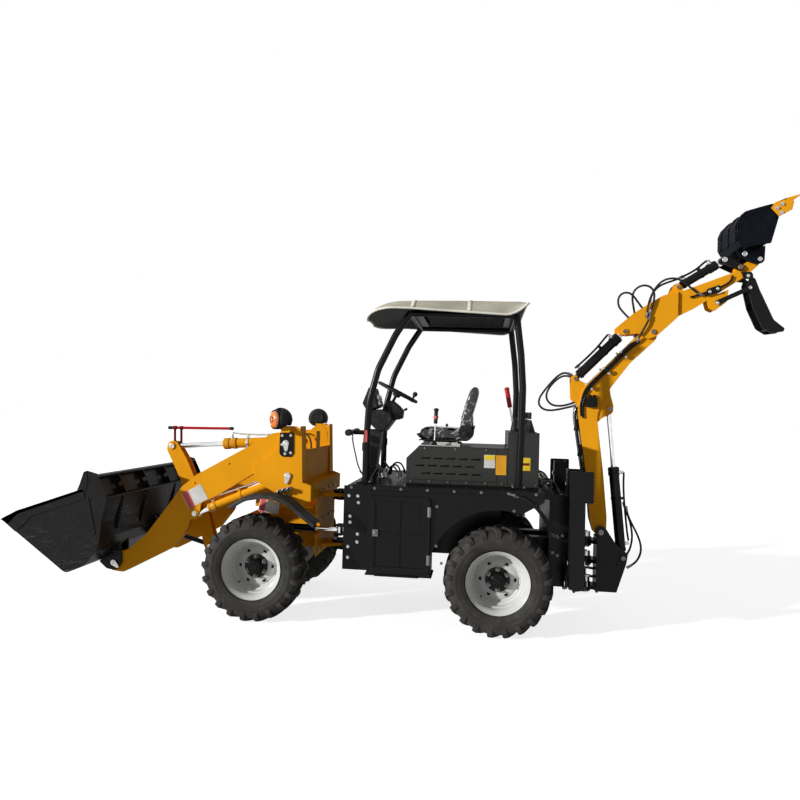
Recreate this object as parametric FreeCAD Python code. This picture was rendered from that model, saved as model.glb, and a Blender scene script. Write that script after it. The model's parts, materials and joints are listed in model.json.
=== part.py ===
"""Articulated mini backhoe loader, built as separate named pieces.

Millimetres, +X forward, +Y to the machine's left, +Z up.  Z = 0 is the ground
and the origin lies under the middle of the machine's overall length.

Three datums carry the coordinates.  The rear datum is on the ground under the
rear axle and carries the rear frame and the backhoe.  The front datum is under
the front axle and carries the front frame and the loader.  Both are drawn for
an axle line AXLE_DROP above them and rise or fall with the tyre size.
"""
import FreeCAD
import Part
import math
import os

V = FreeCAD.Vector

# ---------------------------------------------------------------- dimensions
WHEELBASE = 1790.0
TYRE_OD = 773.0
TYRE_WIDTH = 260.0
RIM_OD = 445.0
TRACK = 1060.0
AXLE_DROP = 386.5
PIVOT_BACK = 520.0          # articulation pivot behind the front axle
REAR_REACH = -2130.0        # rearmost tooth, from the rear axle
FRONT_REACH = 1861.0        # bucket lip, ahead of the front axle

PLATE = 12.0                # frame plate
SHEET = 6.0                 # fenders and thin panels
RUN = 0.35                  # running clearance at pins, rods and bores
SIDE_GAP = 6.0              # side clearance between moving pieces
PIN_HEAD = 8.0              # pin head and keeper thickness

DECK_TOP = 1030.0
DECK_T = 30.0
DECK_HALF = 620.0
DECK_REAR = -310.0
DECK_FRONT = 1090.0
TREAD_T = 3.0               # tread plate on the operator's floor
TREAD = (712.0, 858.0)
RAIL_IN = 100.0
RAIL_OUT = 180.0
RAIL_LOW = 480.0
RAIL_TOP = 640.0
REAR_PLATE_X = -380.0       # where the backhoe bolts on
REAR_PLATE_HALF = 400.0
ARCH_GAP = 118.0            # tyre tread to wheel arch
CHEEK_HALF = 400.0          # front cheeks of the rear frame
CHEEK_FRONT = 1160.0
LUG_LEVELS = (480.0, 880.0)
LUG_T = 24.0
LUG_R = 60.0
KING_PIN_R = 25.0

ARM_Y = 450.0               # loader arm centre
ARM_T = 80.0
ARM_PIN_R = 25.0
ARM_PIVOT = (-200.0, 1310.0)
LIFT_BASE = (-220.0, 1060.0)
LIFT_EYE = (510.0, 750.0)
BUCKET_PIN = (1140.0, 350.0)
CRANK_PIN = (705.0, 785.0)
CRANK_TOP = (930.0, 1230.0)
CRANK_LOW = (575.0, 410.0)
LINK_PIN = (1035.0, 530.0)
LOADER_HALF = 820.0         # half the bucket width
LOADER_WALL = 10.0
LIFT_BARREL_R = 32.0
LIFT_ROD_R = 20.0
TILT_BARREL_R = 40.0
TILT_ROD_R = 22.0
EYE_T = 44.0
CRANK_T = 20.0
LAMP_R = 82.0               # turn lamp hood

STEER_BASE = (20.0, 235.0)          # x from the front axle, y
STEER_EYE = (1215.0, 262.0)         # x from the rear axle, y
STEER_Z = 640.0
STEER_BARREL_R = 28.0
STEER_ROD_R = 15.0
BOX_LOW = 398.0             # underside of the side boxes
SHELF_T = 12.0

SWING_X = -690.0
SWING_PIN_R = 22.0
SWING_LEVELS = (250.0, 450.0, 600.0)
SWING_CYL_Z = 340.0
SWING_BASE = (-296.0, -110.0)
SWING_EYE = (-690.0, -90.0)
BOOM_PIN = (-790.0, 680.0)
BOOM_BASE = (-960.0, 490.0)
BOOM_EYE = (-840.0, 1630.0)
BOOM_HALF = 50.0
DIPPER_PIN = (-1150.0, 2230.0)
DIPPER_BASE = (-580.0, 1860.0)
DIPPER_TAIL = (-940.0, 2230.0)
CURL_BASE = (-1335.0, 2578.0)
CURL_EYE = (-1660.0, 2783.0)
GUIDE_PIN = (-1777.0, 2727.0)
HOE_LINK = (-1792.0, 2820.0)
HOE_PIN = (-1900.0, 2780.0)
HOE_HALF = 200.0
HOE_BARREL_R = 36.0
HOE_ROD_R = 19.0
HOE_PIN_R = 18.0

TIE_EYE = (-345.0, 1055.0)  # tie-down eyes at the deck's rear corners
TIE_R = 22.0

LEG_X = -530.0              # stabilizer centre plane
LEG_WIDTH = 100.0
LEG_Y = 610.0
LEG_HINGE_Z = 410.0
LEG_OUT = 660.0
LEG_TOP = 980.0
LEG_BASE = (430.0, 1080.0)  # cylinder base, y and z
LEG_EYE = (606.0, 550.0)
LEG_BARREL_R = 28.0
LEG_ROD_R = 15.0

POST_Y = 450.0
POST_R = 25.0
CANOPY_HALF = 600.0

LIFT = TYRE_OD / 2 - AXLE_DROP
CENTRE_X = (FRONT_REACH + WHEELBASE + REAR_REACH) / 2
REAR = V(-CENTRE_X, 0, LIFT)
FRONT = V(WHEELBASE - CENTRE_X, 0, LIFT)
PIVOT_X = WHEELBASE - PIVOT_BACK       # from the rear axle


# ------------------------------------------------------------------- helpers
def outline(points):
    """Closed wire of 2-D points; a third number on a point rounds its corner."""
    corners = []
    count = len(points)
    for i, point in enumerate(points):
        here = V(point[0], point[1], 0)
        if len(point) < 3:
            corners.append((here, None, here))
            continue
        before = points[i - 1]
        after = points[(i + 1) % count]
        to_before = (V(before[0], before[1], 0) - here).normalize()
        to_after = (V(after[0], after[1], 0) - here).normalize()
        half = to_before.getAngle(to_after) / 2
        shorter = min(math.dist(point[:2], before[:2]), math.dist(point[:2], after[:2]))
        reach = min(point[2] / math.tan(half), 0.49 * shorter)
        radius = reach * math.tan(half)
        bisector = (to_before + to_after).normalize()
        middle = here + bisector * (radius / math.sin(half) - radius)
        corners.append((here + to_before * reach, middle, here + to_after * reach))
    edges = []
    for i, (start, middle, end) in enumerate(corners):
        if middle is not None:
            edges.append(Part.Arc(start, middle, end).toShape())
        follow = corners[(i + 1) % count][0]
        if end.distanceToPoint(follow) > 1e-4:
            edges.append(Part.makeLine(end, follow))
    return Part.Wire(edges)


def slab(points, low, high, normal="z"):
    """Flat plate cut to an outline, lying between two planes of one axis."""
    solid = Part.Face(outline(points)).extrude(V(0, 0, high - low))
    solid.translate(V(0, 0, low))
    if normal == "y":
        solid.rotate(V(0, 0, 0), V(1, 0, 0), 90)
        solid = solid.mirror(V(0, 0, 0), V(0, 1, 0))
    if normal == "x":
        solid.rotate(V(0, 0, 0), V(1, 1, 1), 120)
    return solid


def side(points, y_low, y_high):
    return slab(points, y_low, y_high, "y")


def box(x0, x1, y0, y1, z0, z1):
    return Part.makeBox(x1 - x0, y1 - y0, z1 - z0, V(x0, y0, z0))


def rod(start, end, radius):
    axis = V(*end) - V(*start)
    return Part.makeCylinder(radius, axis.Length, V(*start), axis)


def across(point, y_low, y_high, radius):
    """Round bar along Y through a point (x, z)."""
    return rod((point[0], y_low, point[1]), (point[0], y_high, point[1]), radius)


def upright(x, y, z_low, z_high, radius):
    return rod((x, y, z_low), (x, y, z_high), radius)


def fuse(*shapes):
    flat = []
    for shape in shapes:
        flat.extend(shape if isinstance(shape, (list, tuple)) else [shape])
    if len(flat) == 1:
        return flat[0]
    return flat[0].fuse(flat[1:])


def mirrored(shape):
    return shape.mirror(V(0, 0, 0), V(0, 1, 0))


def both(shape):
    return [shape, mirrored(shape)]


def bent_tube(points, radius, bend):
    """Round tube along straight runs joined by tangent arcs."""
    path = [V(*p) for p in points]
    edges = []
    last = path[0]
    for before, here, after in zip(path, path[1:], path[2:]):
        to_before = (before - here).normalize()
        to_after = (after - here).normalize()
        half = to_before.getAngle(to_after) / 2
        reach = bend / math.tan(half)
        bisector = (to_before + to_after).normalize()
        middle = here + bisector * (bend / math.sin(half) - bend)
        start = here + to_before * reach
        end = here + to_after * reach
        edges.append(Part.makeLine(last, start))
        edges.append(Part.Arc(start, middle, end).toShape())
        last = end
    edges.append(Part.makeLine(last, path[-1]))
    circle = Part.Wire(Part.makeCircle(radius, path[0], path[1] - path[0]))
    return Part.Wire(edges).makePipeShell([circle], True, False)


def direction(start, end):
    length = math.hypot(end[0] - start[0], end[1] - start[1])
    return (end[0] - start[0]) / length, (end[1] - start[1]) / length, length


def ram(base, eye, centre, barrel_r, rod_r, pin_r, retract, eye_t=EYE_T):
    """Hydraulic cylinder in the XZ plane at y = centre: its barrel and its rod.

    retract is how far the rod still goes in from this position.  The base lug is
    thinner than the barrel, so that a pair of ears can hold it.
    """
    ux, uz, length = direction(base, eye)
    at = lambda s: (base[0] + ux * s, centre, base[1] + uz * s)
    boss = pin_r * 1.75
    neck = boss + 10
    bore_start = neck + 12
    head_gap = 10
    rod_in = length - retract - bore_start - head_gap
    barrel_end = rod_in + bore_start - boss
    barrel = fuse(
        across(base, centre - eye_t / 2, centre + eye_t / 2, boss),
        rod(at(0), at(neck + 2), eye_t / 2 - 1),
        rod(at(neck), at(barrel_end), barrel_r),
        rod(at(barrel_end - 26), at(barrel_end + 4), barrel_r + 4),
    )
    barrel = barrel.cut(rod(at(bore_start), at(barrel_end + 10), rod_r + RUN))
    barrel = barrel.cut(across(base, centre - eye_t, centre + eye_t, pin_r + RUN))
    inner = length - rod_in
    piston = fuse(
        rod(at(inner), at(length - boss * 0.6), rod_r),
        across(eye, centre - eye_t / 2, centre + eye_t / 2, boss),
    )
    piston = piston.cut(across(eye, centre - eye_t, centre + eye_t, pin_r + RUN))
    return barrel, piston


def ears(points, centre, inner_gap, thickness):
    """Pair of equal plates either side of y = centre."""
    half = inner_gap / 2
    return [
        side(points, centre + half, centre + half + thickness),
        side(points, centre - half - thickness, centre - half),
    ]


def pin_heads(point, centre, outer, radius):
    """Heads on the outsides of a pair of ears, with no pin between them."""
    return [
        across(point, centre + outer, centre + outer + PIN_HEAD, radius),
        across(point, centre - outer - PIN_HEAD, centre - outer, radius),
    ]


def save(name, shape, datum):
    solids = shape if isinstance(shape, (list, tuple)) else [shape]
    flat = []
    for solid in solids:
        flat.extend(solid.Solids)
    placed = Part.makeCompound([s.copy() for s in flat])
    placed.translate(datum)
    placed.exportStep(f"parts/{name}.step")
    print(name, len(flat), "solids", "valid" if placed.isValid() else "NOT VALID")


# ---------------------------------------------------------------- rear frame
def lug(x_root, level, half_t, bore):
    """Articulation lug from a plate at x_root to the pivot."""
    plate = slab([(x_root, -110), (x_root, 110), (PIVOT_X, LUG_R, 40),
                  (PIVOT_X, -LUG_R, 40)], level - half_t, level + half_t)
    eye = upright(PIVOT_X, 0, level - half_t, level + half_t, LUG_R)
    solid = plate.fuse(eye)
    return solid.cut(upright(PIVOT_X, 0, level - 99, level + 99, bore))


def rear_chassis():
    arch_r = TYRE_OD / 2 + ARCH_GAP
    deck_low = DECK_TOP - DECK_T
    deck = box(DECK_REAR, DECK_FRONT, -DECK_HALF, DECK_HALF, deck_low, DECK_TOP)
    rail = box(REAR_PLATE_X, CHEEK_FRONT - 55, RAIL_IN, RAIL_OUT, RAIL_LOW, RAIL_TOP)
    rear_plate = box(REAR_PLATE_X, REAR_PLATE_X + 15, -REAR_PLATE_HALF, REAR_PLATE_HALF,
                     330, deck_low)
    tread = box(*TREAD, -DECK_HALF + 20, DECK_HALF - 20, DECK_TOP - 1, DECK_TOP + TREAD_T)
    tail = box(REAR_PLATE_X, DECK_REAR + 40, -REAR_PLATE_HALF, REAR_PLATE_HALF,
               deck_low - 20, deck_low)
    apron_y = DECK_HALF - 20
    apron = side([(DECK_REAR, deck_low), (480, deck_low), (480, 400), (470, 400),
                  (-140, 860), (DECK_REAR, 960)], apron_y, apron_y + 8)
    band = across((0, AXLE_DROP), 338, apron_y, arch_r + SHEET)
    hollow = across((0, AXLE_DROP), 300, DECK_HALF + 40, arch_r)
    window = box(-180, 480, 330, DECK_HALF + 50, 420, deck_low)
    fender = band.cut(hollow).common(window)
    apron = apron.cut(hollow)
    cheek = box(955, CHEEK_FRONT, CHEEK_HALF - 15, CHEEK_HALF, 370, deck_low)
    cheek_web = box(1075, 1090, RAIL_OUT - 5, CHEEK_HALF, 600, deck_low)
    bulkhead = box(940, 955, -CHEEK_HALF, CHEEK_HALF, 390, deck_low)
    cross = box(CHEEK_FRONT - 76, CHEEK_FRONT - 61, -RAIL_OUT, RAIL_OUT, 430, deck_low)
    lug_gap = LUG_T / 2 + SIDE_GAP
    lugs = []
    for level in LUG_LEVELS:
        for end in (-1, 1):
            lugs.append(lug(CHEEK_FRONT - 62, level + end * (lug_gap + 10), 10, 1))
        lugs.append(upright(PIVOT_X, 0, level - lug_gap - 28, level + lug_gap + 28,
                            KING_PIN_R))
    steer_x, steer_y = STEER_EYE
    steer_ears = []
    for end in (-1, 1):
        z = STEER_Z + end * (EYE_T / 2 + 4 + PLATE / 2)
        plate = slab([(1065, 150), (1160, 150), (steer_x + 32, steer_y - 32, 30),
                      (steer_x + 32, steer_y + 32, 30), (1160, steer_y + 32),
                      (1065, 330)], z - PLATE / 2, z + PLATE / 2)
        head = z + end * PLATE / 2
        low, high = sorted((head, head + end * PIN_HEAD))
        steer_ears += [plate, upright(steer_x, steer_y, low, high, 20)]
    shelf = box(470, 950, CHEEK_HALF - 15, 600, BOX_LOW - SHELF_T, BOX_LOW)
    swing_hole = box(REAR_PLATE_X - 20, REAR_PLATE_X + 30, -180,
                     -30, SWING_CYL_Z - 60, SWING_CYL_Z + 50)
    swing_ears, swing_pin = swing_base()
    tie_eye = side([(REAR_PLATE_X, 955), (REAR_PLATE_X + 70, 955),
                    (REAR_PLATE_X + 70, 1095, 30), (REAR_PLATE_X, 1095, 20)],
                   REAR_PLATE_HALF - 15, REAR_PLATE_HALF)
    tie_eye = tie_eye.cut(across(TIE_EYE, 380, 405, TIE_R))
    return fuse(deck, tread, both(rail), rear_plate.cut(swing_hole), tail, both(apron),
                both(fender), both(cheek), both(cheek_web), bulkhead, cross,
                lugs, steer_ears, both(shelf), swing_ears, swing_pin, both(tie_eye))


def swing_base():
    """Ears and pin under the right-hand rail that hold the swing cylinder."""
    x, y = SWING_BASE
    plates = []
    for end in (-1, 1):
        z = SWING_CYL_Z + end * (EYE_T / 2 + 3 + PLATE / 2)
        plates.append(box(x - 26, x + 60, y - 32, y + 32, z - PLATE / 2, z + PLATE / 2))
    plates.append(box(x + 48, x + 60, y - 32, y + 32, SWING_CYL_Z - 37, RAIL_LOW + 1))
    pin = upright(x, y, SWING_CYL_Z - 42, SWING_CYL_Z + 42, 14)
    return plates, pin


def side_boxes():
    body = box(480, 940, 420, 605, BOX_LOW, DECK_TOP - DECK_T)
    frame = box(500, 920, 600, 618, 420, 960).cut(box(535, 885, 600, 630, 455, 925))
    hinge = upright(493, 617, 440, 940, 12)
    panel = box(530, 890, 600, 609, 450, 930)
    return both(fuse(body, frame, hinge, panel))


def axle(x_pads, pad_top):
    hub_y = TRACK / 2 - 90
    tube = across((0, AXLE_DROP), -hub_y, hub_y, 58)
    bulge = Part.makeSphere(128, V(0, 0, AXLE_DROP)).common(
        box(-200, 200, -95, 95, 0, 900))
    drums = both(across((0, AXLE_DROP), hub_y - 70, hub_y, 100))
    pads = both(box(-x_pads, x_pads, RAIL_IN, RAIL_OUT, AXLE_DROP, pad_top))
    return fuse(tube, bulge, drums, pads)


def engine_block():
    return box(-20, 440, -230, 230, RAIL_TOP, 960)


def seat_base():
    hood = side([(-70, DECK_TOP), (700, DECK_TOP), (700, 1220), (610, 1310), (-70, 1310)],
                -330, 330)
    cabinet = box(-290, -60, -330, 330, DECK_TOP, 1430)
    return fuse(hood, cabinet)


def operator_seat():
    slide = box(300, 600, -160, 160, 1310.3, 1352)
    cushion = side([(250, 1348), (600, 1348, 30), (635, 1400, 25), (600, 1450, 25),
                    (250, 1430)], -230, 230)
    back = side([(200, 1390, 30), (300, 1380, 20), (305, 1440), (225, 1770, 25),
                 (160, 1770, 25), (190, 1500)], -215, 215)
    return fuse(slide, cushion, back)


def steering_wheel():
    hub = V(820, 0, 1725)
    normal = V(-0.447, 0, 0.894)
    rim = Part.makeTorus(168, 12, hub, normal)
    boss = Part.makeCylinder(32, 34, hub - normal * 34, normal)
    shaft = Part.makeCylinder(12, 118, hub - normal * 150, normal)
    spokes = []
    for turn in (0, 120, 240):
        spoke = Part.makeCylinder(8, 168, hub - normal * 12, V(0.894, 0, 0.447))
        spoke.rotate(hub, normal, turn + 60)
        spokes.append(spoke)
    knob_foot = hub + V(-0.894, 0, -0.447) * 168
    knob = fuse(Part.makeCylinder(7, 45, knob_foot, normal),
                Part.makeSphere(20, knob_foot + normal * 52))
    return fuse(rim, boss, shaft, spokes, knob)


def dash_column():
    pedestal = side([(985, DECK_TOP), (1080, DECK_TOP), (1062, 1430), (925, 1430)], -70, 70)
    housing = side([(871, 1411, 30), (919, 1405, 20), (961, 1464), (1015, 1543),
                    (1054, 1622, 20), (1022, 1752, 14), (985, 1740, 14), (950, 1640, 30),
                    (860, 1600, 20), (775, 1560, 20), (784, 1493, 30)], -130, 130)
    axis = V(-0.447, 0, 0.894)
    shroud = Part.makeCylinder(34, 120, V(900, 0, 1560) - axis * 30, axis)
    sleeve = Part.makeCylinder(12 + RUN, 400, V(820, 0, 1725) - axis * 151, axis)
    lamp_bar = rod((1040, 0, 1388), (1190, 0, 1392), 17)
    lamp_cross = rod((1175, -200, 1392), (1175, 200, 1392), 20)
    return fuse(pedestal, housing, shroud, lamp_bar, lamp_cross).cut(sleeve)


def control_levers():
    def lever(foot, top, rod_r, grip_r, grip_length, gaiter):
        start = V(*foot)
        end = V(*top)
        axis = (end - start).normalize()
        grip = Part.makeCylinder(grip_r, grip_length, end - axis * grip_length, axis)
        cap = Part.makeSphere(grip_r * 1.15, end)
        shapes = [Part.makeCylinder(rod_r, (end - start).Length, start, axis), grip, cap]
        if gaiter:
            shapes.append(Part.makeCone(gaiter, rod_r + 3, gaiter * 2, start, V(0, 0, 1)))
        below = box(start.x - 60, start.x + 60, start.y - 60, start.y + 60,
                    start.z - 60, start.z)
        return fuse(shapes).cut(below)
    levers = [
        lever((495, 270, 1310), (485, 270, 1590), 6, 14, 90, 26),
        lever((-120, 0, 1430), (-52, 0, 1780), 8, 17, 150, 34),
        lever((430, -280, 1310), (430, -280, 1470), 5, 11, 40, 20),
    ]
    for y in (-240, -80, 80, 240):
        levers.append(lever((-225, y, 1430), (-225, y, 1600), 6, 15, 55, 45))
    return levers


def rops_frame():
    front = [(990, POST_Y, DECK_TOP), (990, POST_Y, 1330), (975, POST_Y, 1640),
             (915, POST_Y, 1880), (790, POST_Y, 2140), (680, POST_Y, 2310)]
    rear = [(-135, POST_Y, DECK_TOP), (-148, POST_Y, 1420), (-152, POST_Y, 1760),
            (-135, POST_Y, 2000), (-95, POST_Y, 2310)]
    posts = [both(bent_tube(front, POST_R, 320)), both(bent_tube(rear, POST_R, 320))]
    feet = [both(box(x - 55, x + 55, POST_Y - 55, POST_Y + 55, DECK_TOP, DECK_TOP + 12))
            for x in (990, -135)]
    cross = [rod((680, -POST_Y, 2300), (680, POST_Y, 2300), 20),
             rod((-97, -POST_Y, 2290), (-97, POST_Y, 2290), 20)]
    rails = both(rod((680, POST_Y, 2300), (-97, POST_Y, 2290), 20))
    pads = [box(x - 40, x + 40, -300, 300, 2300, 2349.7) for x in (640, -60)]
    frame = fuse(sum(posts, []), sum(feet, []), cross, rails, pads)
    return frame.cut(box(-300, DECK_FRONT, -600, 600, DECK_TOP - 20, DECK_TOP))


def canopy():
    sections = []
    skin = 12.0
    for x, top, rim in ((-172, 2362, 2342), (-120, 2362, 2262), (200, 2364, 2290),
                        (600, 2364, 2322), (760, 2360, 2326), (880, 2338, 2312),
                        (960, 2296, 2276), (990, 2258, 2240)):
        inner = top - skin
        crown = CANOPY_HALF - 85
        points = [(-CANOPY_HALF, rim), (-crown, top), (crown, top), (CANOPY_HALF, rim),
                  (CANOPY_HALF - skin, rim), (crown - skin / 2, inner),
                  (skin / 2 - crown, inner), (skin - CANOPY_HALF, rim)]
        wire = Part.makePolygon([V(x, y, z) for y, z in points + points[:1]])
        sections.append(wire)
    return Part.makeLoft(sections, True, True)


# --------------------------------------------------------------- front frame
def front_frame():
    arm_in = ARM_Y - ARM_T / 2 - SIDE_GAP
    arm_out = ARM_Y + ARM_T / 2 + SIDE_GAP
    back = box(-402, -387, -300, 300, 430, 960).cut(
        box(-410, -380, RAIL_OUT + 12, 301, STEER_Z - 46, STEER_Z + 46))
    beam = box(-390, 230, RAIL_IN, RAIL_OUT, RAIL_LOW, RAIL_TOP)
    nose = box(215, 230, -RAIL_OUT, RAIL_OUT, RAIL_LOW, RAIL_TOP + 60)
    belly = box(-390, 215, -RAIL_OUT, RAIL_OUT, RAIL_TOP - 12, RAIL_TOP)
    lug_half = LUG_T / 2
    shift = V(-WHEELBASE, 0, 0)
    lugs = []
    for level in LUG_LEVELS:
        plate = slab([(-395, -130), (-395, 130), (-PIVOT_BACK, LUG_R, 40),
                      (-PIVOT_BACK, -LUG_R, 40)], level - lug_half, level + lug_half)
        eye = upright(-PIVOT_BACK, 0, level - lug_half, level + lug_half, LUG_R)
        hole = upright(-PIVOT_BACK, 0, level - 60, level + 60, KING_PIN_R + RUN)
        lugs.append(plate.fuse(eye).cut(hole))
    tower_edge = [(-400, 880, 20), (-400, 1000), (-320, 1030, 30), (-300, 1380, 30),
                  (-245, 1450, 45), (-155, 1400, 45), (-110, 1240, 60), (-60, 1010, 60),
                  (60, 860, 40), (60, 815), (-300, 815)]
    inner = side(tower_edge, arm_in - PLATE, arm_in)
    outer = side([(-395, 880, 20), (-395, 1000), (-333, 1020), (-320, 1380),
                  (-245, 1450, 45), (-150, 1400, 45), (-135, 1265, 40), (-30, 1172, 50),
                  (33, 1150, 30), (50, 1095, 40), (30, 1020, 50), (-82, 960, 60),
                  (-230, 880, 30)], arm_out, arm_out + PLATE)
    flange = side([(-333, 999), (-333, 1020), (-318, 1440), (-306, 1440), (-306, 1000)],
                  arm_in - PLATE, arm_out + PLATE)
    floor = box(-387, 60, -arm_in, arm_in, 815, 830)
    skirt = both(box(-387, 60, RAIL_OUT - 12, RAIL_OUT, RAIL_TOP - 1, 816))
    rear_wall = box(-400, -388, -arm_out - PLATE, arm_out + PLATE, 880, 1000)
    upper_wall = fuse(box(-318, -303, -arm_in, arm_in, 999, 1255),
                      box(-318, -303, -60, 60, 1240, 1390))
    bridge = box(-400, -303, -arm_out, arm_out, 985, 1000)
    arm_pin = across(ARM_PIVOT, arm_in - PLATE - 1, arm_out + PLATE + PIN_HEAD, ARM_PIN_R)
    lift_pin = across(LIFT_BASE, arm_in - PLATE - 1, arm_out + PLATE + PIN_HEAD, 18)
    tilt_half = EYE_T / 2 + 3
    tilt_ears = ears([(-310, 1230), (-310, 1390), (-200, 1362, 45), (-150, 1310, 40),
                      (-200, 1258, 45)], 0, 2 * tilt_half, PLATE)
    tilt_pin = across(ARM_PIVOT, -tilt_half - PLATE - PIN_HEAD, tilt_half + PLATE + PIN_HEAD,
                      ARM_PIN_R)
    steer_x, steer_y = STEER_BASE
    steer_ears = []
    for end in (-1, 1):
        z = STEER_Z + end * (EYE_T / 2 + 3 + PLATE / 2)
        steer_ears.append(box(steer_x - 26, steer_x + 36, RAIL_OUT - 6, steer_y + 30,
                              z - PLATE / 2, z + PLATE / 2))
    steer_ears.append(upright(steer_x, steer_y, STEER_Z - 44, STEER_Z + 44, 14))
    lamp_post = both(side([(-250, 1395), (-200, 1395), (-160, 1432), (-160, 1440),
                           (-255, 1440)], arm_out + PLATE - 1, arm_out + PLATE + 80))
    return fuse(back, both(beam), nose, belly, lugs, both(inner), both(outer), floor, skirt,
                rear_wall, upper_wall, bridge, both(flange), both(arm_pin), both(lift_pin), tilt_ears,
                tilt_pin, steer_ears, lamp_post)


def front_fenders():
    low_y = ARM_Y + ARM_T / 2 + SIDE_GAP + PLATE + 1
    high_y = TRACK / 2 + TYRE_WIDTH / 2 + 10
    top = TYRE_OD / 2 + 553.5
    crest = [(180, top - 98), (60, top - 24, 200), (-100, top + 5, 300),
             (-260, top - 28, 200), (-365, top - 115, 150), (-480, top - 198)]

    def strip(depth):
        return [(p[0], p[1] - depth, *p[2:]) for p in reversed(crest)]
    solid = side(crest + strip(SHEET), low_y, high_y)
    lip = side(crest + strip(SHEET + 24), high_y - SHEET, high_y)
    bracket = box(-250, -205, low_y - 1, low_y + 30, top - 47, max(top - 8, 932))
    return both(fuse(solid, lip, bracket))


def turn_lamps():
    plate_y = ARM_Y + ARM_T / 2 + SIDE_GAP + PLATE
    y = plate_y + 58
    base = box(-225, -165, y - 28, y + 28, 1440.3, 1452)
    dome = V(-170, y, 1487)
    beam = V(0.94, 0.34, 0)
    hood = Part.makeSphere(LAMP_R, dome)
    hood = hood.cut(box(-300, 0, y - 200, y + 200, 1300, 1448))
    hood = hood.cut(box(-300, 0, 0, plate_y - 5, 1300, 1600))
    face = Part.makeCylinder(200, 200, dome + beam * 40, beam)
    lens = Part.makeCylinder(LAMP_R - 24, 62, dome, beam)
    lens = lens.cut(box(-300, 0, y - 200, y + 200, 1300, 1441))
    return both(fuse(base, hood.cut(face), lens))


# -------------------------------------------------------------------- wheels
def turned(profile, y_sign):
    """Solid of revolution about the axle from a half section (radius, y)."""
    wire = Part.makePolygon([V(r, y * y_sign, 0) for r, y in profile + profile[:1]])
    solid = Part.Face(wire).revolve(V(0, 0, 0), V(0, 1, 0), 360)
    return solid


def tyre(y_sign):
    outer = TYRE_OD / 2
    half = TYRE_WIDTH / 2
    bead = RIM_OD / 2 - 18
    section = [(bead, -half + 42), (bead + 40, -half + 10), (bead + 95, -half),
               (outer - 50, -half + 6), (outer - 12, -half + 26), (outer, -half + 60),
               (outer, half - 60), (outer - 12, half - 26), (outer - 50, half - 6),
               (bead + 95, half), (bead + 40, half - 10), (bead, half - 42)]
    centre = TRACK / 2
    solid = turned([(r, centre + y) for r, y in section], y_sign)
    return solid


def rim(y_sign):
    half = TYRE_WIDTH / 2
    seat = RIM_OD / 2 - 18 - 0.3
    lip = RIM_OD / 2
    centre = TRACK / 2
    profile = [(seat - 14, -half + 30), (lip - 4, -half + 20), (lip, -half + 20),
               (lip, -half + 27.2), (seat, -half + 41.6), (seat, half - 41.6),
               (lip, half - 27.2), (lip, half - 20), (lip - 4, half - 20),
               (seat - 14, half - 30), (seat - 20, half - 60), (150, half - 66),
               (120, half - 52), (80, half - 52), (80, half - 20), (40, half - 8),
               (0, half - 8), (0, half - 90), (70, half - 90), (110, half - 66),
               (150, half - 82), (seat - 20, half - 82)]
    solid = turned([(r, centre + y) for r, y in profile], y_sign)
    hub = rod((0, y_sign * (centre - 89.5), 0), (0, y_sign * (centre + half - 60), 0), 80)
    return solid.fuse(hub)


def place_wheel(solid, x):
    copy = solid.copy()
    copy.translate(V(x, 0, AXLE_DROP))
    return copy


# -------------------------------------------------------------------- loader
def loader_arms():
    low = ARM_Y - ARM_T / 2
    high = ARM_Y + ARM_T / 2
    profile = [(-262, 1262, 50), (-250, 1385, 50), (-95, 1385, 60), (500, 1050, 90),
               (620, 950, 60), (780, 730, 300), (900, 570, 300), (1040, 450, 120),
               (1195, 400, 70), (1205, 285, 70), (1070, 275, 60), (850, 390, 120),
               (680, 480, 80), (560, 640, 80), (546, 705, 25), (492, 708, 25),
               (470, 765, 25), (461, 832, 30), (343, 890, 60), (0, 1105, 200),
               (-120, 1235, 60)]
    arm = side(profile, low, high)
    arm = arm.cut(across(ARM_PIVOT, low - 1, high + 1, ARM_PIN_R + RUN))
    arm = arm.cut(across(BUCKET_PIN, low - 1, high + 1, ARM_PIN_R + RUN))
    slot_half = EYE_T / 2 + 4
    slot = side([(380, 600), (600, 600), (600, 800, 20), (560, 850, 20), (380, 870)],
                ARM_Y - slot_half, ARM_Y + slot_half)
    arm = arm.cut(slot)
    heads = pin_heads(LIFT_EYE, ARM_Y, ARM_T / 2 - 1, 30)
    tube = across((565, 765), -low, low, 45)
    tube_ears = ears([(520, 730), (560, 810), (670, 850, 40), (770, 830, 40),
                      (750, 730, 40), (600, 715)], 0, 2 * (CRANK_T * 2 + SIDE_GAP), PLATE)
    edge = CRANK_T * 2 + SIDE_GAP + PLATE + PIN_HEAD
    crank_pin = across(CRANK_PIN, -edge, edge, 22)
    return fuse(both(arm), sum([both(h) for h in heads], []), tube, tube_ears, crank_pin)


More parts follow.
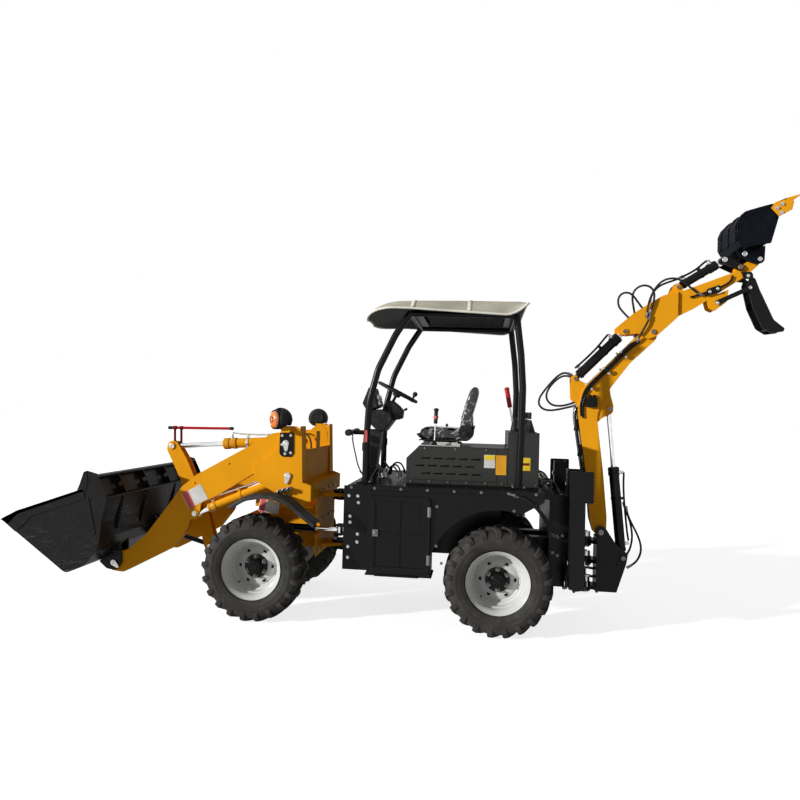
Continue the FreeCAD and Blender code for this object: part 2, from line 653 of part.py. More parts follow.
def loader_bucket():
    lip = (FRONT_REACH, 700)
    shape = [lip, (1734, 768), (1206, 954), (1196, 1081), (1118, 1062), (1030, 885),
             (1069, 710), (1079, 582), (1108, 494), (1190, 395, 60), (1333, 328, 60)]
    wall = LOADER_WALL
    outer = side(shape, -LOADER_HALF, LOADER_HALF)
    hollow = side([(FRONT_REACH + 40, 712), (1734, 800), (1206, 1010), (1212, 1120),
                   (1190, 1064), (1172, 1048), (1106, 885), (1096, 712), (1100, 586),
                   (1119, 503), (1196, 409, 55), (1329, 342, 50), (1600, 531)],
                  -LOADER_HALF + wall, LOADER_HALF - wall)
    shell = outer.cut(hollow)
    cutter = both(side([lip, (1734, 768), (1206, 954), (1212, 930), (1725, 745),
                        (FRONT_REACH - 60, 668)], LOADER_HALF - 1, LOADER_HALF + 6))
    ear_t = 16
    arm_in = ARM_T / 2 + SIDE_GAP
    hinge_ears = []
    for y in (-ARM_Y, ARM_Y):
        hinge_ears += ears([(1112, 560), (1090, 470), (1078, 350, 50), (1120, 288, 40),
                            (1200, 300, 30), (1262, 352), (1190, 420), (1115, 505)],
                           y, 2 * arm_in, ear_t)
        hinge_ears.append(across(BUCKET_PIN, y - arm_in - ear_t - PIN_HEAD,
                                 y + arm_in + ear_t + PIN_HEAD, ARM_PIN_R))
    link_ears = ears([(1095, 640), (1060, 640), (990, 560, 40), (990, 500, 35),
                      (1040, 470, 30), (1112, 480), (1110, 520)], 0, EYE_T + 8, ear_t)
    heads = pin_heads(LINK_PIN, 0, EYE_T / 2 + 4 + ear_t, 26)
    ribs = []
    for y in (-600, -250, 250, 600):
        ribs.append(side([(1104, 892), (1032, 892), (1024, 875), (1060, 640),
                          (1094, 600)], y - 6, y + 6))
    crest = box(1100, 1215, wall - LOADER_HALF, LOADER_HALF - wall, 1048, 1100)
    shell = shell.cut(crest).cut(bucket_channel())
    return fuse(shell, cutter, hinge_ears, link_ears, heads, ribs)


def bucket_channel():
    """Bays left open behind the bucket's top edge, between gussets with round holes."""
    edges = [-LOADER_HALF + LOADER_WALL]
    for y in (-540, -180, 180, 540):
        edges += [y - 5, y + 5]
    edges.append(LOADER_HALF - LOADER_WALL)
    bays = [across((1088, 962), -LOADER_HALF / 1.3, LOADER_HALF / 1.3, 18)]
    for low, high in zip(edges[::2], edges[1::2]):
        bays.append(side([(1090, 1036), (1020, 895), (1096, 895), (1154, 1036)], low, high))
    return bays


def bellcrank():
    profile = [(535, 385, 40), (610, 370, 40), (665, 560, 120), (775, 745, 60),
               (850, 960, 200), (975, 1200, 45), (965, 1275, 45), (890, 1270, 45),
               (800, 1130, 200), (690, 900, 120), (625, 780, 90), (560, 560, 100),
               (528, 450, 40)]
    plates = ears(profile, 0, EYE_T + 8, CRANK_T - 6)
    web_y = EYE_T / 2 + 5
    hub = across(CRANK_PIN, -CRANK_T * 2, CRANK_T * 2, 45)
    low_pin = across(CRANK_LOW, -web_y - CRANK_T, web_y + CRANK_T, 20)
    solid = fuse(plates, hub, low_pin)
    solid = solid.cut(across(CRANK_PIN, -99, 99, 22 + RUN))
    heads = pin_heads(CRANK_TOP, 0, EYE_T / 2 + CRANK_T - 3, 28)
    brace = side([(700, 850), (730, 835), (800, 960), (775, 975)], -web_y, web_y)
    return fuse(solid, heads, brace)


def bucket_link():
    half = EYE_T / 2 - 2
    bar = rod((CRANK_LOW[0], 0, CRANK_LOW[1]), (LINK_PIN[0], 0, LINK_PIN[1]), 19)
    bosses = [across(p, -half, half, 36) for p in (CRANK_LOW, LINK_PIN)]
    solid = fuse(bar, bosses)
    for point in (CRANK_LOW, LINK_PIN):
        solid = solid.cut(across(point, -60, 60, 20 + RUN))
    return solid


def lift_rams():
    barrel, piston = ram(LIFT_BASE, LIFT_EYE, ARM_Y, LIFT_BARREL_R, LIFT_ROD_R, 18, 105)
    return both(barrel), both(piston)


def tilt_ram():
    """Tilt cylinder; its rod end carries the bucket's level indicator bar."""
    barrel, piston = ram(ARM_PIVOT, CRANK_TOP, 0, TILT_BARREL_R, TILT_ROD_R, ARM_PIN_R, 400)
    bar = rod((420, 0, 1390), (980, 0, 1382), 9)
    posts = [rod((x, 0, z), (x + 4, 0, 1384), 7) for x, z in ((925, 1260), (868, 1240))]
    return barrel, fuse(piston, bar, posts)


def flat_ram(base, eye, z, barrel_r, rod_r, retract):
    """Hydraulic cylinder lying in the horizontal plane at height z."""
    shapes = []
    for solid in ram(base, eye, 0, barrel_r, rod_r, 14, retract):
        solid.rotate(V(0, 0, 0), V(1, 0, 0), -90)
        solid.translate(V(0, 0, z))
        shapes.append(solid)
    return shapes


def steering_ram():
    eye = (STEER_EYE[0] - WHEELBASE, STEER_EYE[1])
    return flat_ram(STEER_BASE, eye, STEER_Z, STEER_BARREL_R, STEER_ROD_R, 165)


# ------------------------------------------------------------------- backhoe
def backhoe_frame():
    face = -600
    mount = box(REAR_PLATE_X - 15, REAR_PLATE_X, -400, 400, 330, DECK_TOP - DECK_T)
    plate = slab([(-400, 330), (-110, 330), (-110, 213), (110, 213), (110, 330), (400, 330),
                  (400, DECK_TOP - 40), (-400, DECK_TOP - 40)], face, face + 15, "x")
    ribs = []
    for y in (-400, 385):
        ribs.append(side([(face, 330), (REAR_PLATE_X, 330), (REAR_PLATE_X, 990),
                          (-480, 990), (face, 900)], y, y + 15))
    shelf = box(face + 10, REAR_PLATE_X - 10, -390, 390, 940, 955)
    base = box(face + 10, REAR_PLATE_X - 10, -390, 390, 430, 442)
    keel_web = side([(face + 10, 213), (-520, 300), (-440, 340), (-440, 435),
                     (face + 10, 435)], 60, 72)
    levels = [keel_web]
    for level in SWING_LEVELS:
        for end in (-1, 1):
            z = level + end * (14 + SIDE_GAP / 2 + 8)
            tongue = slab([(face + 5, -95), (face + 5, 95), (SWING_X, 42, 25),
                           (SWING_X, -42, 25)], z - 8, z + 8)
            levels.append(tongue.fuse(upright(SWING_X, 0, z - 8, z + 8, 42)))
        levels.append(upright(SWING_X, 0, level - 35, level + 35, SWING_PIN_R))
    half = LEG_WIDTH / 2 + SIDE_GAP
    arm_shape = [(380, 330), (470, 330), (LEG_Y, 372, 20), (LEG_Y + 42, LEG_HINGE_Z, 34),
                 (LEG_Y, 452, 20), (470, 520), (380, 600)]
    legs = []
    for x in (LEG_X + half, LEG_X - half - PLATE):
        legs.append(slab(arm_shape, x, x + PLATE, "x"))
    leg_pin = rod((LEG_X - half - PLATE - 6, LEG_Y, LEG_HINGE_Z),
                  (LEG_X + half + PLATE + 6, LEG_Y, LEG_HINGE_Z), 18)
    tower = []
    cyl_half = LEG_WIDTH / 2 - PLATE
    tower_shape = [(380, 900), (LEG_BASE[0] - 30, 900), (LEG_BASE[0] + 40, LEG_BASE[1], 30),
                   (LEG_BASE[0] + 30, 1185, 20), (380, 1185)]
    for x in (LEG_X + cyl_half, LEG_X - cyl_half - PLATE):
        tower.append(slab(tower_shape, x, x + PLATE, "x"))
    tower.append(box(LEG_X - cyl_half - PLATE, LEG_X + cyl_half + PLATE, 378, 390, 890, 1185))
    tower_pin = rod((LEG_X - cyl_half - PLATE - 6, LEG_BASE[0], LEG_BASE[1]),
                    (LEG_X + cyl_half + PLATE + 6, LEG_BASE[0], LEG_BASE[1]), 14)
    for low, high in ((LEG_X - cyl_half - 1, LEG_X - EYE_T / 2 - 3),
                      (LEG_X + EYE_T / 2 + 3, LEG_X + cyl_half + 1)):
        tower.append(rod((low, LEG_BASE[0], LEG_BASE[1]), (high, LEG_BASE[0], LEG_BASE[1]), 24))
    sides = fuse(legs, leg_pin, tower, tower_pin)
    hole = box(face - 5, REAR_PLATE_X + 5, -180, 0, SWING_CYL_Z - 50, SWING_CYL_Z + 50)
    body = fuse(mount, plate, ribs, shelf, base).cut(hole)
    return fuse(body, levels, both(sides))


def swing_post():
    levels = []
    for level in SWING_LEVELS:
        tongue = slab([(-770, -80), (-770, 80), (SWING_X, 40, 25), (SWING_X, -40, 25)],
                      level - 14, level + 14)
        eye = upright(SWING_X, 0, level - 14, level + 14, 40)
        hole = upright(SWING_X, 0, level - 60, level + 60, SWING_PIN_R + RUN)
        levels.append(tongue.fuse(eye).cut(hole))
    web = box(-775, -760, -80, 80, 218, 640)
    inner = BOOM_HALF + SIDE_GAP
    cheek = [(-760, 225), (-770, 640), (-745, 700, 30), (-790, 735, 45), (-835, 700, 35),
             (-900, 600), (-995, 520, 25), (-985, 450, 25), (-915, 225)]
    plates = ears(cheek, 0, 2 * inner, 16)
    boom_pin = across(BOOM_PIN, -inner - 16 - PIN_HEAD, inner + 16 + PIN_HEAD, 22)
    ram_pin = across(BOOM_BASE, -inner - 16 - PIN_HEAD, inner + 16 + PIN_HEAD, HOE_PIN_R)
    spacers = both(across(BOOM_BASE, EYE_T / 2 + 3, inner + 1, 30))
    floor = box(-915, -760, -inner - 8, inner + 8, 225, 240)
    eye_x, eye_y = SWING_EYE
    lever_z = EYE_T / 2 + 4
    lever = []
    for end in (-1, 1):
        z = SWING_CYL_Z + end * (lever_z + PLATE / 2)
        lever.append(slab([(-765, -30), (-765, -80), (eye_x - 25, eye_y - 26, 22),
                           (eye_x + 26, eye_y - 26, 25), (eye_x + 26, eye_y + 22, 20),
                           (eye_x - 20, -65)], z - PLATE / 2, z + PLATE / 2))
        head = SWING_CYL_Z + end * (lever_z + PLATE)
        low, high = sorted((head, head + end * PIN_HEAD))
        lever.append(upright(eye_x, eye_y, low, high, 20))
    return fuse(levels, web, plates, boom_pin, ram_pin, spacers, floor, lever)


def swing_ram():
    return flat_ram(SWING_BASE, SWING_EYE, SWING_CYL_Z, 28, 14, 84)


def boom():
    profile = [(-745, 660, 40), (-835, 650, 40), (-835, 800, 200), (-800, 1160, 400),
               (-745, 1590, 200), (-850, 1800, 150), (-990, 1990, 100), (-1175, 2170, 45),
               (-1195, 2250, 45), (-1130, 2290, 45), (-760, 1905, 100), (-640, 1780, 80),
               (-600, 1620, 150), (-680, 1080, 400), (-710, 770, 100)]
    body = side(profile, -BOOM_HALF, BOOM_HALF)
    eye_half = EYE_T / 2 + 4
    rear_ears = ears([(-730, 1500), (-790, 1560, 20), (-868, 1600, 30), (-872, 1655, 25),
                      (-850, 1730, 20), (-840, 1790), (-740, 1650)], 0, 2 * eye_half, 14)
    rear_heads = pin_heads(BOOM_EYE, 0, eye_half + 14, 24)
    front_ears = ears([(-615, 1650), (-552, 1700, 40), (-545, 1880, 30), (-585, 1894, 25),
                       (-612, 1850, 20), (-700, 1800)], 0, EYE_T + 6, 16)
    front_pin = across(DIPPER_BASE, -EYE_T / 2 - 3 - 16 - PIN_HEAD,
                       EYE_T / 2 + 3 + 16 + PIN_HEAD, HOE_PIN_R)
    solid = fuse(body, rear_ears, rear_heads, front_ears, front_pin)
    solid = solid.cut(across(BOOM_PIN, -60, 60, 22 + RUN))
    return solid.cut(across(DIPPER_PIN, -60, 60, 22 + RUN))


def dipper():
    inner = BOOM_HALF + SIDE_GAP
    cheek = [(-900, 2200, 25), (-885, 2262, 25), (-1030, 2390, 60), (-1215, 2500, 60),
             (-1330, 2535), (-1330, 2345), (-1180, 2200, 30), (-1110, 2172, 30),
             (-1040, 2215, 40)]
    plates = ears(cheek, 0, 2 * inner, 14)
    body = side([(-1290, 2400), (-1290, 2522), (-1345, 2540, 40), (-1735, 2690, 40),
                 (-1800, 2750, 40), (-1895, 2812, 40), (-1936, 2790, 36), (-1905, 2740, 38),
                 (-1830, 2668, 30), (-1450, 2412, 100), (-1320, 2345, 20)],
                -BOOM_HALF, BOOM_HALF)
    web = side([(-1270, 2380), (-1300, 2380), (-1300, 2522), (-1270, 2512)],
               -inner - 7, inner + 7)
    cap = side([(-1080, 2408), (-1072, 2418), (-1215, 2508), (-1330, 2545), (-1330, 2533),
                (-1218, 2494)], -inner - 7, inner + 7)
    strut_ears = ears([(-1540, 2490), (-1560, 2415, 20), (-1600, 2395, 15),
                       (-1690, 2470, 25), (-1700, 2560)], 0, 2 * (BOOM_HALF - 12), 12)
    bosses = both(across(DIPPER_TAIL, EYE_T / 2 + 4, inner + 14, 30))
    tail_heads = pin_heads(DIPPER_TAIL, 0, inner + 14, 24)
    pivot = across(DIPPER_PIN, -inner - 14 - PIN_HEAD, inner + 14 + PIN_HEAD, 22)
    curl_ears = ears([(-1270, 2510), (-1300, 2590, 20), (-1335, 2608, 25), (-1366, 2586, 15),
                      (-1376, 2540)], 0, EYE_T + 6, 14)
    curl_pin = across(CURL_BASE, -EYE_T / 2 - 17 - PIN_HEAD, EYE_T / 2 + 17 + PIN_HEAD,
                      HOE_PIN_R)
    guide_pin = across(GUIDE_PIN, -BOOM_HALF - SIDE_GAP - 12 - PIN_HEAD,
                       BOOM_HALF + SIDE_GAP + 12 + PIN_HEAD, HOE_PIN_R)
    solid = fuse(plates, body, web, cap, strut_ears, bosses, tail_heads, pivot, curl_ears,
                 curl_pin, guide_pin)
    return solid.cut(across(HOE_PIN, -60, 60, HOE_PIN_R + RUN))


def guide_links():
    inner = BOOM_HALF + SIDE_GAP
    ux, uz, length = direction(GUIDE_PIN, CURL_EYE)
    nx, nz = -uz * 27, ux * 27
    plates = []
    for y in (inner, -inner - 12):
        bar = side([(GUIDE_PIN[0] + nx, GUIDE_PIN[1] + nz), (CURL_EYE[0] + nx, CURL_EYE[1] + nz),
                    (CURL_EYE[0] - nx, CURL_EYE[1] - nz),
                    (GUIDE_PIN[0] - nx, GUIDE_PIN[1] - nz)], y, y + 12)
        plates.append(fuse(bar, across(GUIDE_PIN, y, y + 12, 27),
                           across(CURL_EYE, y, y + 12, 27)))
    hole = across(GUIDE_PIN, -99, 99, HOE_PIN_R + RUN)
    spacers = both(across(CURL_EYE, EYE_T / 2 + 17.3, inner + 1, 24))
    heads = pin_heads(CURL_EYE, 0, inner + 11, 22)
    return fuse(plates, spacers, heads).cut(hole)


def h_link():
    ux, uz, length = direction(CURL_EYE, HOE_LINK)
    inner = EYE_T / 2 + 4
    nx, nz = -uz * 25, ux * 25
    plates = []
    for y in (inner, -inner - 13):
        bar = side([(CURL_EYE[0] + nx, CURL_EYE[1] + nz), (HOE_LINK[0] + nx, HOE_LINK[1] + nz),
                    (HOE_LINK[0] - nx, HOE_LINK[1] - nz),
                    (CURL_EYE[0] - nx, CURL_EYE[1] - nz)], y, y + 13)
        plates.append(fuse(bar, across(CURL_EYE, y, y + 13, 25), across(HOE_LINK, y, y + 13, 25)))
    barrel = across(HOE_LINK, -inner - 1, inner + 1, 25)
    solid = fuse(plates, barrel)
    return solid.cut(across(HOE_LINK, -60, 60, 14))


def backhoe_bucket():
    wall = 8.0
    profile = [(-1740, 2835, 25), (-1870, 2868), (-1935, 2874, 20), (-1985, 3068),
               (-2050, 3190), (-1940, 3160, 20), (-1760, 3110, 50), (-1700, 3020, 70),
               (-1700, 2900, 60)]
    outer = side(profile, -HOE_HALF, HOE_HALF)
    hollow = side([(-1748, 2850, 20), (-1870, 2878), (-1960, 2864), (-2030, 3068),
                   (-2080, 3178), (-1945, 3150, 20), (-1765, 3100, 45), (-1710, 3016, 62),
                   (-1710, 2905, 52)], -HOE_HALF + wall, HOE_HALF - wall)
    shell = outer.cut(hollow)
    ear_in = BOOM_HALF + SIDE_GAP + 12 + PIN_HEAD + 5
    hoe_ears = ears([(-1940, 2880), (-1935, 2760, 30), (-1890, 2742, 30), (-1750, 2795, 30),
                     (-1725, 2870)], 0, 2 * ear_in, 14)
    pin = across(HOE_PIN, -ear_in - 14 - PIN_HEAD, ear_in + 14 + PIN_HEAD, HOE_PIN_R)
    collars = both(across(HOE_PIN, BOOM_HALF + 3, ear_in + 1, 26))
    link_collars = both(across(HOE_LINK, EYE_T / 2 + 4 + 13 + 4, ear_in + 1, 24))
    link_heads = pin_heads(HOE_LINK, 0, ear_in + 13, 22)
    edge = side([(-2050, 3190), (-1985, 3160), (-1960, 3166), (-2035, 3204)],
                -HOE_HALF, HOE_HALF)
    teeth = []
    for y in (-172, -58, 58, 172):
        teeth.append(side([(-1990, 3160), (REAR_REACH, 3232), (REAR_REACH, 3222),
                           (-2030, 3170)], y - 24, y + 24))
    cutters = both(side([(-1985, 3068), (-2072, 3118), (-2085, 3178), (-2050, 3196),
                         (-1960, 3166), (-1930, 3130)], HOE_HALF - 1, HOE_HALF + 10))
    return fuse(shell, hoe_ears, pin, collars, link_collars, link_heads, edge, teeth, cutters)


def thumb():
    inner = BOOM_HALF + 0.3
    profile = [(-1830, 2600, 20), (-1850, 2660, 22), (-1885, 2640, 20), (-1915, 2560, 40),
               (-2100, 2270, 15), (-2085, 2235, 12), (-1990, 2228, 20), (-1935, 2275, 30)]
    tines = ears(profile, 0, 2 * inner, 14)
    cross = [across((-1905, 2450), -inner - 1, inner + 1, 16),
             side([(-2100, 2268), (-2085, 2236), (-2000, 2228), (-1995, 2240),
                   (-2080, 2250), (-2090, 2272)], -inner - 1, inner + 1)]
    strut = both(side([(-1600, 2470, 12), (-1606, 2434, 12), (-1850, 2552, 12),
                       (-1850, 2590, 12)], inner, inner + 10))
    mount = both(side([(-1780, 2690), (-1860, 2690, 20), (-1872, 2630, 20), (-1800, 2640)],
                      BOOM_HALF + 0.3, inner + 14))
    return fuse(tines, cross, strut, mount)


def hoe_rams():
    boom_pair = ram(BOOM_BASE, BOOM_EYE, 0, HOE_BARREL_R + 2, HOE_ROD_R, HOE_PIN_R, 420)
    dipper_pair = ram(DIPPER_BASE, DIPPER_TAIL, 0, HOE_BARREL_R, HOE_ROD_R, HOE_PIN_R, 12)
    curl_pair = ram(CURL_BASE, CURL_EYE, 0, HOE_BARREL_R - 4, HOE_ROD_R - 2, HOE_PIN_R, 8)
    return boom_pair, dipper_pair, curl_pair


# --------------------------------------------------------------- stabilizers
def stabilizer():
    half = LEG_WIDTH / 2
    web = box(LEG_X - half, LEG_X + half, LEG_OUT - 10, LEG_OUT, LEG_HINGE_Z - 32, LEG_TOP)
    flanges = []
    flange = [(LEG_Y - 30, LEG_HINGE_Z - 32, 25), (LEG_OUT, LEG_HINGE_Z - 32),
              (LEG_OUT, LEG_TOP), (LEG_Y, LEG_TOP), (LEG_Y - 30, LEG_EYE[1] + 60)]
    for x in (LEG_X - half, LEG_X + half - PLATE):
        flanges.append(slab(flange, x, x + PLATE, "x"))
    eye_half = EYE_T / 2 + 4
    spacer = []
    for low, high in ((LEG_X + eye_half, LEG_X + half - 1), (LEG_X - half + 1, LEG_X - eye_half)):
        spacer.append(rod((low, LEG_EYE[0], LEG_EYE[1]), (high, LEG_EYE[0], LEG_EYE[1]), 24))
    heads = []
    for low in (LEG_X - half - PIN_HEAD + 2, LEG_X + half):
        heads.append(rod((low, LEG_EYE[0], LEG_EYE[1]),
                         (low + PIN_HEAD - 2, LEG_EYE[0], LEG_EYE[1]), 18))
    pad = box(LEG_X - 102, LEG_X + 53, LEG_OUT - 22, LEG_OUT - 8, LEG_TOP - 8, LEG_TOP + 208)
    cap = box(LEG_X - half, LEG_X + half, LEG_Y, LEG_OUT, LEG_TOP - 14, LEG_TOP)
    solid = fuse(web, flanges, spacer, heads, pad, cap)
    hole = rod((LEG_X - 99, LEG_Y, LEG_HINGE_Z), (LEG_X + 99, LEG_Y, LEG_HINGE_Z), 18 + RUN)
    return solid.cut(hole)


def stabilizer_ram():
    """Drawn in the plane x = LEG_X between the frame tower and the leg."""
    shapes = []
    for solid in ram(LEG_BASE, LEG_EYE, 0, LEG_BARREL_R, LEG_ROD_R, 14, 12):
        solid.rotate(V(0, 0, 0), V(0, 0, 1), 90)
        solid.translate(V(LEG_X, 0, 0))
        shapes.append(solid)
    return shapes


# --------------------------------------------------------------------- build
def build():
    os.makedirs("parts", exist_ok=True)
    save("rear_chassis", rear_chassis(), REAR)
    save("side_boxes", side_boxes(), REAR)
    save("rear_axle", axle(45, RAIL_LOW), REAR)
    save("engine_block", engine_block(), REAR)
    save("seat_base", seat_base(), REAR)
    save("operator_seat", operator_seat(), REAR)
    save("steering_wheel", steering_wheel(), REAR)
    save("dash_column", dash_column(), REAR)
    save("control_levers", control_levers(), REAR)
    save("rops_frame", rops_frame(), REAR)
    save("canopy", canopy(), REAR)
    save("backhoe_frame", backhoe_frame(), REAR)

    save("front_frame", front_frame(), FRONT)
    save("front_axle", axle(45, RAIL_LOW), FRONT)
    save("front_fenders", front_fenders(), FRONT)
    save("turn_lamps", turn_lamps(), FRONT)
    for end, x in (("front", WHEELBASE), ("rear", 0)):
        for flank, sign in (("left", 1), ("right", -1)):
            save(f"tyre_{end}_{flank}", place_wheel(tyre(sign), x), REAR)
            save(f"rim_{end}_{flank}", place_wheel(rim(sign), x), REAR)

    save("loader_arms", loader_arms(), FRONT)
    save("loader_bucket", loader_bucket(), FRONT)
    save("bellcrank", bellcrank(), FRONT)
    save("bucket_link", bucket_link(), FRONT)
    lift_barrels, lift_rods = lift_rams()
    save("lift_barrels", lift_barrels, FRONT)
    save("lift_rods", lift_rods, FRONT)
    tilt_barrel, tilt_rod = tilt_ram()
    save("tilt_barrel", tilt_barrel, FRONT)
    save("tilt_rod", tilt_rod, FRONT)
    steer_barrel, steer_rod = steering_ram()
    save("steering_barrel", steer_barrel, FRONT)
    save("steering_rod", steer_rod, FRONT)

    save("swing_post", swing_post(), REAR)
    swing_barrel, swing_rod = swing_ram()
    save("swing_barrel", swing_barrel, REAR)
    save("swing_rod", swing_rod, REAR)
    save("boom", boom(), REAR)
    save("dipper", dipper(), REAR)
    for name, (barrel, piston) in zip(("boom", "dipper", "curl"), hoe_rams()):
        save(f"{name}_barrel", barrel, REAR)
        save(f"{name}_rod", piston, REAR)
    save("guide_links", guide_links(), REAR)
    save("h_link", h_link(), REAR)
    save("backhoe_bucket", backhoe_bucket(), REAR)
    save("thumb", thumb(), REAR)

    leg = stabilizer()
    leg_barrel, leg_rod = stabilizer_ram()
    for flank, place in (("left", lambda s: s), ("right", mirrored)):
        save(f"stabilizer_{flank}", place(leg), REAR)
        save(f"stabilizer_barrel_{flank}", place(leg_barrel), REAR)
        save(f"stabilizer_rod_{flank}", place(leg_rod), REAR)


build()
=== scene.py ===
"""Looks for the articulated mini backhoe loader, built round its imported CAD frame.  Metres."""

import bpy
import bmesh
import json
import math
import random
from mathutils import Matrix, Vector


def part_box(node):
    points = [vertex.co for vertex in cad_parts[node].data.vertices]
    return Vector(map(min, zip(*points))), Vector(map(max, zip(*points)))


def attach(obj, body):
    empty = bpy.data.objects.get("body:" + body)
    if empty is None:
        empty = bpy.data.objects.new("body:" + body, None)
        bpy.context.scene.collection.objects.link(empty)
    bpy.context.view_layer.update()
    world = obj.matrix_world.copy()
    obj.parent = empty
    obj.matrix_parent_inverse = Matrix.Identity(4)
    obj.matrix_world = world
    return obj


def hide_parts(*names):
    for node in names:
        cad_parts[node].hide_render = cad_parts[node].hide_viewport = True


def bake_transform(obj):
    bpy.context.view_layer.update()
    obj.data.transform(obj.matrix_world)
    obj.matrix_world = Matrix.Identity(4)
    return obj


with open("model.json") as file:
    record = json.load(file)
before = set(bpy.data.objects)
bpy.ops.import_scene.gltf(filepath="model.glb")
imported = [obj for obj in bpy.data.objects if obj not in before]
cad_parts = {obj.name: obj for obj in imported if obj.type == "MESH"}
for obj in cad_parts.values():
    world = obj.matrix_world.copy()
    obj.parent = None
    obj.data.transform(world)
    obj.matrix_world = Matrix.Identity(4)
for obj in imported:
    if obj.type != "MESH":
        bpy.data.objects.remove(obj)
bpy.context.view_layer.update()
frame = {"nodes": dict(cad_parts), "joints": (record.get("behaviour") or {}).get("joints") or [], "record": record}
random.seed(7)

MM = 0.001
UP, DOWN = Vector((0, 0, 1)), Vector((0, 0, -1))
SIDES = ((1, "left"), (-1, "right"))
ARM_Y = 450      # middle of each loader arm
BUCKET_PIN_HALF = 70
PLATE_Y = 508    # outer face of each tower plate
POST_Y = 450     # middle of each canopy post
PIVOTS = {j["name"]: Vector(j["pos_m"]) for j in frame["joints"] if "pos_m" in j}
REAR_HUB = PIVOTS["wheel_spin_rear_left"]
FRONT_HUB = PIVOTS["wheel_spin_front_left"]


def rear(x, y, z):
    """A point from the rear axle's datum, given in millimetres."""
    return Vector((REAR_HUB.x + x * MM, y * MM, z * MM))


def front(x, y, z):
    """A point from the front axle's datum, given in millimetres."""
    return Vector((FRONT_HUB.x + x * MM, y * MM, z * MM))


# ------------------------------------------------------------------ materials
class Nodes:
    """Short names for building one material's node tree."""

    def __init__(self, name):
        self.material = bpy.data.materials.new(name)
        self.material.use_nodes = True
        self.tree = self.material.node_tree
        self.shader = self.tree.nodes["Principled BSDF"]
        coords = self.add("ShaderNodeTexCoord")
        self.coords = coords.outputs["Object"]

    def add(self, kind, **inputs):
        node = self.tree.nodes.new(kind)
        for key, value in inputs.items():
            self.feed(node.inputs[key.replace("_", " ")], value)
        return node

    def feed(self, socket, value):
        if isinstance(value, bpy.types.NodeSocket):
            self.tree.links.new(value, socket)
        else:
            socket.default_value = value

    def noise(self, scale, detail=3.0, rough=0.5):
        node = self.add("ShaderNodeTexNoise", Vector=self.coords, Scale=scale, Detail=detail,
            Roughness=rough)
        return node.outputs["Fac"]

    def span(self, value, low, high, to_low=0.0, to_high=1.0):
        node = self.add("ShaderNodeMapRange")
        self.feed(node.inputs["Value"], value)
        for key, number in (("From Min", low), ("From Max", high), ("To Min", to_low),
                ("To Max", to_high)):
            node.inputs[key].default_value = number
        return node.outputs["Result"]

    def maths(self, operation, a, b):
        node = self.add("ShaderNodeMath")
        node.operation = operation
        self.feed(node.inputs[0], a)
        self.feed(node.inputs[1], b)
        return node.outputs[0]

    def mix(self, factor, a, b):
        node = self.add("ShaderNodeMix")
        node.data_type = "RGBA"
        self.feed(node.inputs[0], factor)
        self.feed(node.inputs[6], a if not isinstance(a, tuple) else (*a, 1.0))
        self.feed(node.inputs[7], b if not isinstance(b, tuple) else (*b, 1.0))
        return node.outputs[2]

    def bump(self, height, distance, normal=None, strength=1.0):
        node = self.add("ShaderNodeBump", Height=height, Distance=distance, Strength=strength)
        if normal is not None:
            self.feed(node.inputs["Normal"], normal)
        return node.outputs["Normal"]

    def soft_edges(self, radius):
        node = self.add("ShaderNodeBevel", Radius=radius)
        node.samples = 4
        return node.outputs["Normal"]

    def edge_mask(self, soft, low=0.02, high=0.18):
        """1 where the surface turns sharply, 0 on the flats."""
        geometry = self.add("ShaderNodeNewGeometry").outputs["Normal"]
        dot = self.add("ShaderNodeVectorMath")
        dot.operation = "DOT_PRODUCT"
        self.feed(dot.inputs[0], soft)
        self.feed(dot.inputs[1], geometry)
        turned = self.maths("SUBTRACT", 1.0, dot.outputs["Value"])
        return self.span(turned, low, high)

    def facing_up(self, low=0.3, high=1.0):
        geometry = self.add("ShaderNodeNewGeometry").outputs["Normal"]
        parts = self.add("ShaderNodeSeparateXYZ")
        self.feed(parts.inputs[0], geometry)
        return self.span(parts.outputs["Z"], low, high)

    def done(self, color, roughness, normal=None, **fixed):
        self.feed(self.shader.inputs["Base Color"], color)
        self.feed(self.shader.inputs["Roughness"], roughness)
        if normal is not None:
            self.feed(self.shader.inputs["Normal"], normal)
        for key, value in fixed.items():
            self.shader.inputs[key.replace("_", " ")].default_value = value
        return self.material


def shade(color, factor):
    return tuple(min(1.0, c * factor) for c in color)


